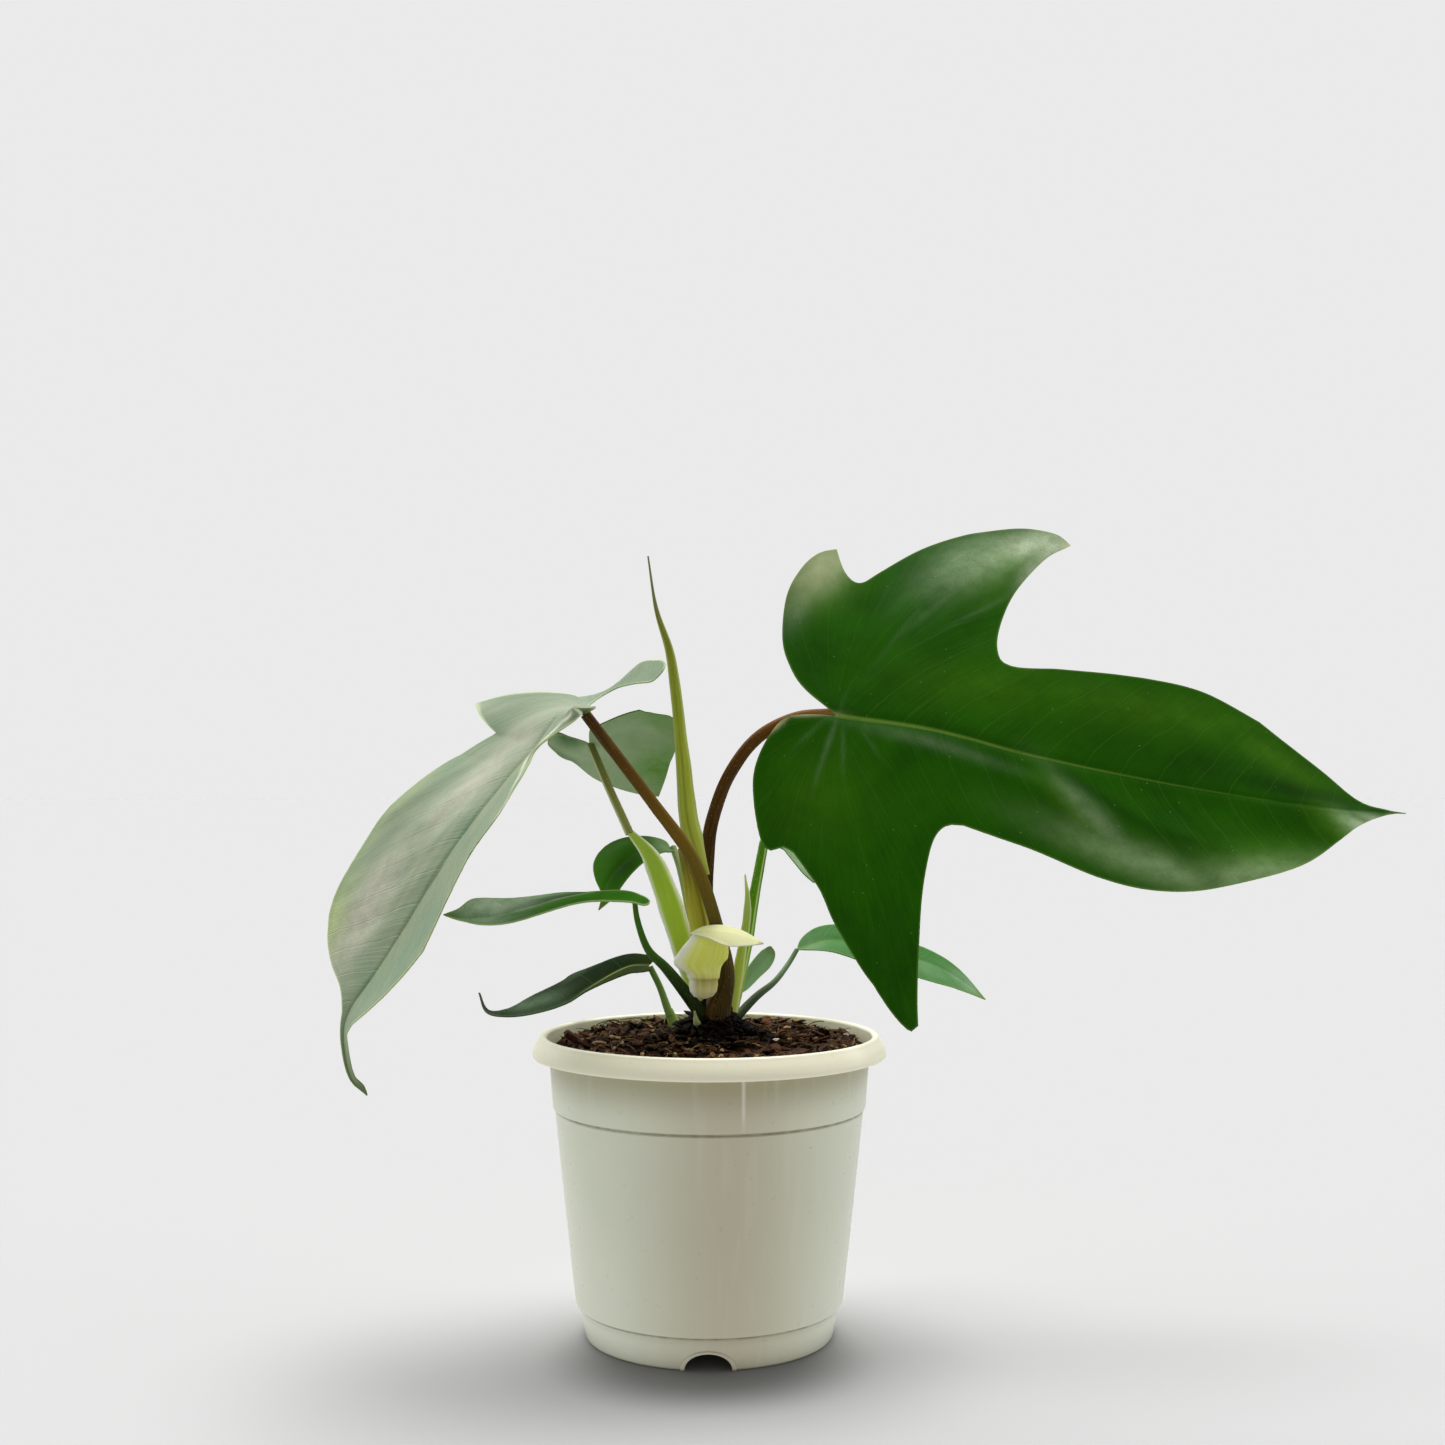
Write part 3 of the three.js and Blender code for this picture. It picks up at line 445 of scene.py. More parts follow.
def potMaterial(p):
    # injection-moulded polypropylene, cream: semi-gloss, faint mould flow lines and handling scuffs
    material, tree = newMaterial("moulded_polypropylene_cream")
    place = addNode(tree, "TexCoord").outputs["Object"]
    centred = addNode(tree, "Mapping", None, {"Vector": place, "Location": tuple(-potAxis)}).outputs[0]
    x, y, z = addNode(tree, "SeparateXYZ", None, {0: centred}).outputs
    # broad tone drift, about 40 mm across
    drift = addNode(tree, "TexNoise", None, {"Vector": centred, "Scale": 25.0, "Detail": 3.0})
    # a warmer, darker band down the front: partly the wall's own tint, partly painted shade
    band = nearness(tree, x, 0.007, 0.042, 0.9)
    # painted shade under the rim: the collar is painted darker and more olive towards the rim
    collar = addNode(tree, "MapRange", smoothStep,
                     {"Value": z, "From Min": 0.081, "From Max": 0.0975, "To Max": 0.75})
    # painted light: the thin rim is painted paler than the walls, for the light it lets through
    rim = addNode(tree, "MapRange", None, {"Value": z, "From Min": 0.0966, "From Max": 0.0974})
    # darker in thin noisy lines: at the table, the foot and the step
    ledges = None
    for height in (0.0109, 0.0788, 0.0):
        ledge = nearness(tree, z, height, 0.0008, 1.0)
        ledges = ledge if ledges is None else addNode(
            tree, "Math", {"operation": "MAXIMUM"}, {0: ledges, 1: ledge})
    dust = addNode(tree, "TexNoise", None, {"Vector": centred, "Scale": 260.0, "Detail": 4.0})
    ledgeNoise = addNode(tree, "MapRange", None, {
        "Value": dust, "From Min": 0.3, "From Max": 0.7, "To Min": 0.45, "To Max": 0.9})
    # small dark handling marks, half a millimetre to a millimetre
    marks = addNode(tree, "TexVoronoi", None, {"Vector": centred, "Scale": 55.0, "Randomness": 1.0})
    dots = addNode(tree, "MapRange", None, {
        "Value": marks.outputs["Distance"], "From Min": 0.014, "From Max": 0.028, "To Min": 0.4,
        "To Max": 0.0})
    # the mould's parting line with a painted highlight along it, paler: on the collar only, and at the front
    # only
    seam = nearness(tree, x, 0.0115, 0.0009, 0.6, {"interpolation_type": "LINEAR"})
    for value, begins, full in ((z, 0.0975, 0.0965), (z, 0.079, 0.086), (y, -0.030, -0.035)):
        within = addNode(tree, "MapRange", None, {"Value": value, "From Min": begins, "From Max": full})
        seam = addNode(tree, "Math", {"operation": "MULTIPLY"}, {0: seam, 1: within})
    # upright flow lines from moulding: fine in the relief, broader in the colour
    fine, broad = (
        addNode(tree, "TexNoise", None, {"Scale": 1.0, "Detail": detail, "Vector": addNode(
            tree, "Mapping", None, {"Vector": centred, "Scale": stretch})})
        for stretch, detail in (((700.0, 700.0, 14.0), 2.0), ((260.0, 260.0, 9.0), 1.0))
    )
    flow = addNode(tree, "MapRange", None,
                   {"Value": broad, "From Min": 0.58, "From Max": 0.8, "To Max": 0.13})
    colour = paintLayers(tree, p["wallColours"][0], [
        (p["wallColours"][1], drift), (p["frontBandTintAndShade"], band), (p["collar"], collar), (p["rim"], rim),
        (p["ledgeLineColour"], ledges, ledgeNoise), (p["scuff"], dots), (p["partingLineHighlight"], seam), (p["flowLine"], flow),
    ])
    rough = addNode(tree, "MapRange", None, {
        "Value": dust, "From Min": 0.3, "From Max": 0.7, "To Min": 0.27, "To Max": 0.4})
    height = addNode(tree, "Math", {"operation": "MULTIPLY_ADD"}, {0: seam, 1: 3.0, 2: fine})
    relief = addNode(tree, "Bump", None, {"Height": height, "Strength": 0.25, "Distance": 0.00012})
    closeMaterial(tree, addNode(tree, "BsdfPrincipled", None, {
        "Base Color": colour, "Roughness": rough, "IOR": 1.49, "Normal": relief,
        "Subsurface Weight": 0.08, "Subsurface Radius": (0.004, 0.004, 0.003), "Subsurface Scale": 1.0,
    }))
    return material


nurseryPot = potPiece(potSet)
nurseryPot.data.materials.append(potMaterial(potSet))
finishPiece(nurseryPot, "pot_plastic", "pot")
print("pot made")


def bladeSheet(leaf, u, v, w):
    # carries the flat blade onto its bent sheet: midrib curve, folded halves, drooping edges
    points, tangents, lengths = bentCurve(leaf["rib"])
    length = lengths[-1]
    inside = np.clip(u, 0, length)
    point = alongCurve(points, lengths, inside)
    along = unitRows(alongCurve(tangents, lengths, inside))
    faces = unitRows(np.asarray(leaf["face"], float))
    t = inside / length
    up = alongCurve(faces, np.arange(len(faces)), t * (len(faces) - 1))
    up = unitRows(up - along * np.sum(up * along, -1, keepdims=True))
    side = np.cross(up, along)
    point = point + along * np.maximum(u - length, 0)[:, None]
    bend = math.radians(leaf["back"])
    turn = bend * np.minimum(u, 0)
    point = point + along * (np.sin(turn) / bend)[:, None] + up * ((1 - np.cos(turn)) / bend)[:, None]
    up = up * np.cos(turn)[:, None] - along * np.sin(turn)[:, None]
    fold, curl = leaf["fold"], leaf["curl"]
    left = v > 0
    rise = np.radians(np.where(left, fold[0] + (fold[1] - fold[0]) * t, fold[2] + (fold[3] - fold[2]) * t))
    droop = np.radians(np.where(left, curl[0], curl[1]))
    turned = rise - droop * np.abs(v)
    across = (np.sin(rise) - np.sin(turned)) / droop
    height = (np.cos(turned) - np.cos(rise)) / droop
    return point + side * (np.sign(v) * across)[:, None] + up * (height + w)[:, None]


def ovalShare(patch, u, v):
    # a soft oval on the blade: u, v, half length, half width, turn in degrees
    centreU, centreV, halfLength, halfWidth, turn = patch
    c, s = math.cos(math.radians(turn)), math.sin(math.radians(turn))
    a, b = (u - centreU) * c + (v - centreV) * s, (v - centreV) * c - (u - centreU) * s
    return np.exp(-((a / halfLength) ** 2 + (b / halfWidth) ** 2))


def patchWeights(patches, u, v):
    weight = np.zeros_like(u)
    for *patch, strength in patches:
        weight = np.maximum(weight, strength * ovalShare(patch, u, v))
    return weight


def veinFlow(leaf, u, v):
    # phase numbers the side veins in millimetres along the midrib; along is the distance on one
    lean, curve = leaf["veinLean"]
    start = u - lean * np.abs(v) ** curve
    far = np.linspace(0.01, 160, 400)
    leaning = lean * far ** curve
    turnHere = np.interp(np.hypot(u, v), np.hypot(leaning, far), np.arctan2(far, leaning))
    fan = -45 * (np.abs(np.arctan2(np.abs(v), u)) - turnHere)  # behind the joint, 45 mm to a radian
    phase = np.where(start > 0, start, np.minimum(fan, 0))
    return phase, np.hypot(u - np.maximum(start, 0), v)


def wrinkle(phase, along, side, seed):
    # low unevenness between the side veins, one lump every dozen millimetres
    return np.array([
        noise.noise(Vector((p / 14, a / 26, s * 5 + seed))) for p, a, s in zip(phase, along, side)
    ])


# what a blade has unless its own dictionary says otherwise
bladeUsual = {
    "spacing": 2.0, "cell": 4.0, "thick": 0.5, "besideRib": (0.7, 1.6), "ribWidth": 1.6, "groove": 0,
    "grooveWidth": 2.6, "lumps": 0.2, "ripple": 0.3, "tipLength": 6, "veinGap": 13, "veinDepth": 0.05,
    "veinLean": (0.35, 1.25), "folds": [], "pale": [], "warm": [], "dark": [], "brown": [],
}


def bladePiece(name, leaf):
    leaf = {**bladeUsual, "underLook": underLook, **leaf}
    rim = outlinePoints(leaf["outline"], leaf["spacing"])
    area = np.sum(rim[:, 0] * np.roll(rim[:, 1], -1) - np.roll(rim[:, 0], -1) * rim[:, 1])
    if area < 0:
        rim = rim[::-1]
    deselectAll()
    bpy.ops.mesh.primitive_circle_add(vertices=len(rim), radius=10, fill_type="NGON", location=(0, 0, 0))
    piece = bpy.context.object
    piece.name = name
    moveVertices(piece, np.column_stack([rim, np.zeros(len(rim))]))
    cell, low, high = leaf["cell"], rim.min(0), rim.max(0)
    gridU, gridV = (np.arange(math.ceil(low[k] / cell), high[k] / cell) * cell for k in range(2))
    beside = [sign * gap for gap in leaf["besideRib"] for sign in (-1, 1)] if leaf["groove"] else []
    bpy.ops.object.mode_set(mode="EDIT")
    cutAcross(0, gridU)
    cutAcross(1, sorted([*gridV, *beside]))
    bpy.ops.object.mode_set(mode="OBJECT")
    applyModifier(piece, "SUBSURF", subdivision_type="SIMPLE", levels=2, render_levels=2)

    u, v = vertexPlaces(piece)[:, :2].T
    length = bentCurve(leaf["rib"])[2][-1]
    t = np.clip(u / length, 0, 1)
    edge = edgeDistance(np.column_stack([u, v]), rim)
    phase, along = veinFlow(leaf, u, v)
    side, reach, gap = np.sign(v), np.abs(v), leaf["veinGap"]
    ribWidth = leaf["ribWidth"] * (1 - 0.75 * t)
    ribShare = np.clip(1 - reach / ribWidth, 0, 1) * np.clip(1 + u / 3, 0, 1) * (1 - 0.8 * t)
    grooveWidth = leaf["grooveWidth"] * (1 - 0.7 * t)
    groove = leaf["groove"] * (1 - 0.8 * t) * np.exp(-((v / grooveWidth) ** 2)) * np.clip(1 + u / 6, 0, 1)
    folds = np.zeros_like(u)
    for *patch, height in leaf["folds"]:
        folds += height * ovalShare(patch, u, v)
    lumps = wrinkle(phase, along, side, leaf["seed"]) * leaf["lumps"] * np.clip(edge / 8, 0.25, 1)
    waves = np.sin(along * 0.11 + phase * 0.05 + leaf["seed"])
    ripple = leaf["ripple"] * waves * np.clip(1 - edge / 14, 0, 1)
    fromVein = (np.abs((phase / gap) % 1 - 0.5) - 0.5) * gap
    veins = -leaf["veinDepth"] * np.exp(-((fromVein / 0.9) ** 2))
    w = -groove + folds + lumps + ripple + veins * np.clip(reach / 4, 0, 1)
    tipShare = np.clip((u - length + leaf["tipLength"]) / leaf["tipLength"], 0, 1)
    pale, warm, dark, brown = (patchWeights(leaf[zone], u, v) for zone in ("pale", "warm", "dark", "brown"))
    for layer, values in (
        ("veinFlow", (phase, along, side)), ("bladePlace", (u, v, edge)),
        ("bladeMarks", (ribShare, tipShare, brown)), ("bladeTone", (pale, warm, dark)),
    ):
        storeVectors(piece, layer, np.stack(values, -1))
    storeMillimetreUv(piece, u, v)
    moveVertices(piece, toFrame(bladeSheet(leaf, u, v, w)))
    piece.data.materials.append(leafMaterial(name + "_upper", leaf["look"]))
    piece.data.materials.append(leafMaterial(name + "_under", leaf["underLook"]))
    applyModifier(piece, "SOLIDIFY", thickness=leaf["thick"] * mm, offset=0, material_offset=1)
    return smoothBy(piece, 55)


# Leaf tissue under a waxy skin: fine streaks run along the veins, the skin's gloss is broken by
# its cells, and the tissue is paler where the light goes through it, at the margin and the veins.
def leafMaterial(name, look):
    material, tree = newMaterial(name)
    flow, place, marks, tone = (
        addNode(tree, "Attribute", {"attribute_name": layer}).outputs["Vector"]
        for layer in ("veinFlow", "bladePlace", "bladeMarks", "bladeTone")
    )
    (phase, along, _), (_, _, edge), (onRib, atTip, brown), (pale, warm, dark) = (
        addNode(tree, "SeparateXYZ", None, {0: vector}).outputs for vector in (flow, place, marks, tone))
    cells = addNode(tree, "TexNoise", None, {"Vector": place, "Scale": 1.6, "Detail": 5.0, "Roughness": 0.65})
    # broad mottling, 15 to 30 mm across
    broad = addNode(tree, "TexNoise", None,
                    {"Vector": place, "Scale": 0.045, "Detail": 3.0, "Roughness": 0.55})
    mottled = addNode(tree, "MapRange", None, {"Value": broad, "From Min": 0.32, "From Max": 0.68})
    # fine streaks along the veins, under a millimetre apart
    streakPlace = addNode(tree, "Mapping", None, {"Vector": flow, "Scale": (1.3, 0.05, 9.0)})
    streaks = addNode(tree, "TexNoise", None, {"Vector": streakPlace, "Scale": 1.0, "Detail": 3.0})
    streaked = addNode(tree, "MapRange", None, {
        "Value": streaks, "From Min": 0.45, "From Max": 0.75, "To Max": look["streaks"]})
    # the colour zones placed on each blade have ragged, grainy borders
    patchy = addNode(tree, "TexNoise", None,
                     {"Vector": place, "Scale": 0.16, "Detail": 5.0, "Roughness": 0.6})
    ragged = addNode(tree, "MapRange", None, {
        "Value": patchy, "From Min": 0.3, "From Max": 0.65, "To Min": 0.65, "To Max": 1.12})
    grainy = addNode(tree, "MapRange", None, {
        "Value": cells, "From Min": 0.35, "From Max": 0.65, "To Min": 0.75, "To Max": 1.12})
    # side veins: thin pale lines every veinGap millimetres, unevenly spaced
    shifted = addNode(tree, "Math", {"operation": "MULTIPLY_ADD"}, {0: broad, 1: 6.0, 2: phase})
    swing = addNode(tree, "Math", {"operation": "PINGPONG"}, {0: shifted, 1: look["veinGap"] / 2})
    line = addNode(tree, "MapRange", smoothStep, {
        "Value": swing, "From Min": 0.05, "From Max": 0.45, "To Min": 1.0, "To Max": 0.0})
    fade = addNode(tree, "MapRange", None, {
        "Value": along, "From Min": 20.0, "From Max": 75.0, "To Min": 1.0, "To Max": 0.15})
    vein = addNode(tree, "Math", {"operation": "MULTIPLY"}, {0: line, 1: fade})
    # the midrib and the thin margin
    rib = addNode(tree, "MapRange", smoothStep, {
        "Value": onRib, "From Min": 0.15, "From Max": 0.9, "To Max": look["rib"]})
    margin = addNode(tree, "MapRange", smoothStep, {
        "Value": edge, "From Min": 0.15, "From Max": 0.8, "To Min": look["margin"], "To Max": 0.0})
    # tiny pale specks, half a millimetre
    specks = addNode(tree, "TexVoronoi", None, {"Vector": place, "Scale": 0.17, "Randomness": 1.0})
    specked = addNode(tree, "MapRange", None, {
        "Value": specks.outputs["Distance"], "From Min": 0.03, "From Max": 0.06,
        "To Min": look["specks"], "To Max": 0.0})
    # the pale zones are partly paler tissue and partly painted sheen; the dark zones are partly darker tissue
    # and partly painted shade in creases and slits
    colour = paintLayers(tree, look["deep"], [
        (look["base"], mottled), (look["streak"], streaked), (look["dark"], dark, ragged),
        (look["warm"], warm, ragged), (look["pale"], pale, ragged, grainy),
        (look["vein"], vein, look["veins"]), (look["ribColour"], rib), (look["marginColour"], margin),
        (look["tipColour"], atTip, look["tip"]), (look["brown"], brown), (look["speckColour"], specked),
    ])
    # gloss and relief broken by the skin's cells
    rough = addNode(tree, "MapRange", None, {
        "Value": cells, "From Min": 0.3, "From Max": 0.7,
        "To Min": look["rough"] - 0.06, "To Max": look["rough"] + 0.1})
    grain = addNode(tree, "Math", {"operation": "MULTIPLY_ADD"}, {0: cells, 1: 0.9, 2: streaks})
    height = addNode(tree, "Math", {"operation": "MULTIPLY_ADD"}, {0: vein, 1: look["veinSink"], 2: grain})
    relief = addNode(tree, "Bump", None, {"Height": height, "Strength": look["relief"], "Distance": 0.0002})
    closeMaterial(tree, addNode(tree, "BsdfPrincipled", None, {
        "Base Color": colour, "Roughness": rough, "IOR": 1.45, "Normal": relief,
        "Specular IOR Level": look["gloss"], "Subsurface Weight": look.get("glow", 0.0),
        "Subsurface Radius": (0.003, 0.003, 0.0015), "Subsurface Scale": 1.0,
    }))
    return material


greenLook = {  # mature upper side: deep green, glossy
    "base": "#245f01", "deep": "#1c4f01", "streak": "#347008", "streaks": 0.3, "dark": "#123601",
    # pale: the colour of the pale zones, partly painted sheen
    "warm": "#427601", "pale": "#cddcba", "veinGap": 13.0, "veins": 0.07, "vein": "#78a044", "rib": 0.75,
    "ribColour": "#76983a", "margin": 0.25, "marginColour": "#8fae5a", "tip": 0.7, "tipColour": "#6f7f1c",
    "brown": "#d6cfa0", "specks": 0.35, "speckColour": "#a9c08a", "rough": 0.42, "relief": 0.25,
    "veinSink": -1.0, "gloss": 0.055,
}
underLook = {  # underside: paler, matt, veins stand out
    **greenLook, "base": "#7d9866", "deep": "#66834e", "streak": "#8ea878", "streaks": 0.4, "dark": "#2c4a1c",
    "warm": "#7f9a52", "pale": "#9db48c", "vein": "#a4b88a", "rib": 0.9, "ribColour": "#a8b878",
    "margin": 0.4, "specks": 0.1, "rough": 0.55, "relief": 0.5, "veinSink": 1.2, "gloss": 0.15,
}

leafRight = {
    "rib": [[45, -6, 217], [77, -12, 212], [115, -15, 202], [171, -14, 191], [219, -6, 184], [250, 6, 182]],
    "face": [[0.02, -0.95, 0.32], [0.05, -0.94, 0.34], [0.15, -0.85, 0.5]],
    "fold": [-2, 0, -3, -2], "curl": [0.14, 0.1], "back": 0.1,
    "outline": [
        [[0, 0], [-13, 8], [-20, 16], [-25, 27], [-27, 45], [-24, 58], [-19, 66], [-13, 69]],
        [[-13, 69], [-8, 59], [-2, 55], [5, 61], [19, 75], [35, 87], [48, 94], [62, 95], [72, 92]],
        [[72, 92], [60, 83], [51, 66], [48, 50], [49, 37], [55, 32], [75, 36], [101, 39], [130, 39],
         [154, 31]],
        [[154, 31], [178, 15], [192, 4], [203, 1], [212, 0]],
        [[212, 0], [203, -1], [187, -7], [165, -23], [137, -35], [118, -39], [99, -38], [75, -33], [53, -31]],
        [[53, -31], [47, -33], [44, -40], [45, -56], [49, -75], [53, -92], [55.5, -101]],
        [[55.5, -101], [54, -103.5], [50, -102], [40, -96], [25, -87.5], [12, -74.5], [4, -62], [-6, -51.5]],
        [[-6, -51.5], [-10, -50], [-14, -52], [-18, -49], [-23, -36], [-25, -24], [-22, -11], [-16, -3],
         [0, 0]],
    ],
    "groove": 0.8, "grooveWidth": 2.2, "ribWidth": 1.7, "lumps": 0.3, "ripple": 0.4, "seed": 3,
    "tipLength": 10,
    "folds": [
        (118, -22, 46, 9, -14, 2.2), (150, -10, 40, 7, -8, -1.2), (45, 72, 34, 7, 52, 1.4),
        (28, 50, 34, 5, 58, -0.7), (5, -30, 30, 8, -75, 0.8), (60, -12, 30, 6, -5, 0.8),
        (185, -8, 14, 5, -25, 1.0),
    ],
    # pale zones: mostly painted sheen, the whitish gloss at the lobe tips and the band below the midrib, with
    # thin pale streaks fanning from the joint
    "pale": [
        (-16, 62, 15, 9, 62, 0.42), (-9, 66, 5, 4, 0, 0.2), (-22, 44, 12, 5, 80, 0.2),
        (64, 88, 12, 9, 35, 1.0), (52, 87, 15, 7, 35, 0.85), (38, 76, 22, 9, 50, 0.42),
        (58, 77, 11, 6, 60, 0.8), (115, -31, 32, 5, -11, 0.32), (150, -29, 26, 6, 14, 0.34),
        (95, -19, 20, 3.5, -38, 0.24), (190, -8, 9, 4, -28, 0.7), (196, -3, 8, 2, -10, 0.5),
        (-1, -11, 13, 0.9, -98, 0.12), (4, -10, 10, 0.7, -80, 0.07), (-8, -8, 8, 0.7, -125, 0.06),
        (12, -7, 8, 0.7, -50, 0.05), (32, 58, 20, 1.4, 57, 0.14), (20, 44, 20, 0.9, 66, 0.06),
        (44, 56, 18, 1.0, 50, 0.08), (36, -5, 26, 2.2, -4, 0.12),
    ],
    "warm": [(110, 27, 60, 9, 2, 0.3), (50, 22, 30, 10, 10, 0.3), (60, 42, 9, 14, 0, 0.45),
             (160, 17, 22, 6, -25, 0.4), (-14, 60, 17, 12, 62, 0.85), (0, -30, 18, 18, 0, 0.25),
             (115, -31, 34, 6, -11, 0.75), (152, -28, 28, 9, 14, 0.85), (186, -9, 14, 6, -28, 0.8),
             (50, 80, 26, 13, 45, 0.6), (92, -20, 22, 5, -38, 0.5)],
    # dark zones: partly darker tissue, partly painted shade along the creases of the folds
    "dark": [
        (168, 5, 30, 4, -4, 0.8), (98, -12, 28, 2.2, -25, 0.6), (128, -21, 24, 2.2, -12, 0.5),
        (-12, 20, 14, 10, 70, 0.5), (48, -85, 14, 16, 80, 0.4), (15, 14, 22, 9, 40, 0.3),
        (115, 10, 50, 8, -4, 0.45), (100, -24, 26, 4, -20, 0.35),
    ],
    "brown": [(70.5, 91.5, 3.5, 2.2, 30, 0.95), (-11, -1.6, 9, 0.9, 12, 0.6), (-20, -7.5, 6, 0.9, 52, 0.6),
              (-17, 60, 15, 8, 62, 0.4)],
    "look": {**greenLook, "warm": "#568a14"},
}

leafLeft = {
    "rib": [
        [-43, -22, 217], [-51, -23, 216], [-59, -26, 206], [-71, -31, 191], [-85, -36, 172], [-106, -40, 137],
        [-119, -40, 117], [-121, -39, 109], [-119, -38, 95], [-114, -37, 88],
    ],
    "face": [
        [0, -0.05, 1], [-0.35, -0.17, 0.9], [-0.6, -0.42, 0.68], [-0.68, -0.5, 0.52], [-0.68, -0.5, 0.5],
        [-0.68, -0.5, 0.5],
    ],
    "fold": [5, 18, 8, 13], "curl": [0.05, 0.05], "back": 1.1,
    "outline": [
        [[0, 0], [-3, 10], [-3, 25], [0, 40], [5, 50]],
        [[5, 50], [10, 44], [12, 33], [17, 16], [24, 6], [32, 17], [39, 25], [52, 31], [64, 28], [74, 31],
         [98, 38]],
        [[98, 38], [106, 35], [116, 29], [125, 21.5], [131, 14], [136, 10], [141, 7.6], [147, 6], [153, 4.6],
         [158, 3], [161, 1]],
        [[161, 1], [157, -0.4], [151, -1.2], [143, -1.8], [136, -2.8], [131, -5], [127, -12], [124, -26],
         [118, -38], [106, -47], [71, -55]],
        [[71, -55], [50, -56], [37, -53], [28, -45], [20, -37]],
        [[20, -37], [16, -51], [13, -68], [11.5, -83]],
        [[11.5, -83], [9, -74], [7, -60], [4, -50], [-4, -46], [-13, -44], [-20, -47], [-28, -46], [-34, -41],
         [-37, -34]],
        [[-37, -34], [-37, -27], [-34, -21], [-29, -20], [-24, -27], [-17, -36], [-10, -34], [-4, -18],
         [0, 0]],
    ],
    "groove": 0.7, "grooveWidth": 1.8, "ribWidth": 1.1, "lumps": 0.5, "ripple": 0.4, "seed": 8,
    "tipLength": 22,
    "folds": [(70, -28, 34, 8, -12, 0.7), (60, -10, 40, 3.5, -4, 0.4), (-30, -44, 14, 7, 10, 3.0),
              (-28, -20, 14, 7, 20, -2.0)],
    # pale zones: mostly painted sheen over the far half, and a pale line beside the midrib
    "pale": [(45, -18, 36, 11, -8, 0.75), (100, -24, 32, 13, 6, 0.85), (20, -12, 16, 14, -30, 0.5),
             (14, -72, 3, 12, 0, 0.4), (12, -55, 3, 8, 10, 0.2), (62, -8, 60, 2.2, -3, 0.45)],
    "warm": [(112, -38, 20, 8, 25, 0.8), (90, -50, 34, 4, 4, 0.32), (60, -53, 22, 4, 0, 0.25),
             (150, 2, 16, 3, 0, 0.25)],
    "dark": [(62, -41, 18, 9, -6, 0.42), (76, -34, 20, 7, 0, 0.22), (148, 0, 16, 4, 0, 0.75),
             (134, 0, 7, 5, 0, 0.4), (-20, -30, 30, 14, 0, 0.28), (12, -52, 12, 30, 0, 0.6),
             (80, 14, 60, 7, 0, 0.16), (13, 27, 14, 3.2, 105, 0.9), (19, 14, 8, 3, 125, 0.9),
             (29, 10, 8, 2.4, 54, 0.8), (0, 10, 4, 12, 0, 0.6)],
    "brown": [(10, 24, 10, 0.9, 105, 0.9), (17, 10, 8, 0.9, 125, 0.9), (31, 9, 8, 0.9, 54, 0.95),
              (38, 20, 8, 0.9, 45, 0.9), (48, 30, 10, 1.0, 15, 0.7), (-3, 18, 12, 1.4, 90, 0.9),
              (1, 43, 8, 1.5, 65, 0.9), (8, 45, 6, 1.5, -50, 0.9)],
    # the blade's colours are painted paler and greyer than the other leaves': partly its own tone, partly
    # painted sheen
    "look": {
        **greenLook, "base": "#788862", "deep": "#60805c", "streak": "#98a184", "streaks": 0.5,
        "dark": "#3c5822", "warm": "#a3b56c", "pale": "#bdbaa6", "vein": "#b4b8a0", "veins": 0.1,
        "ribColour": "#c4c8ac", "rib": 0.7, "margin": 0.6, "marginColour": "#b9cc8c", "tip": 0.95,
        "tipColour": "#3c560e", "specks": 0.2, "rough": 0.42, "relief": 0.55, "gloss": 0.35,
        "brown": "#e6e8c6",
    },
    "underLook": {**underLook, "base": "#4f7a30", "deep": "#3f6a22", "streak": "#648a48"},
}

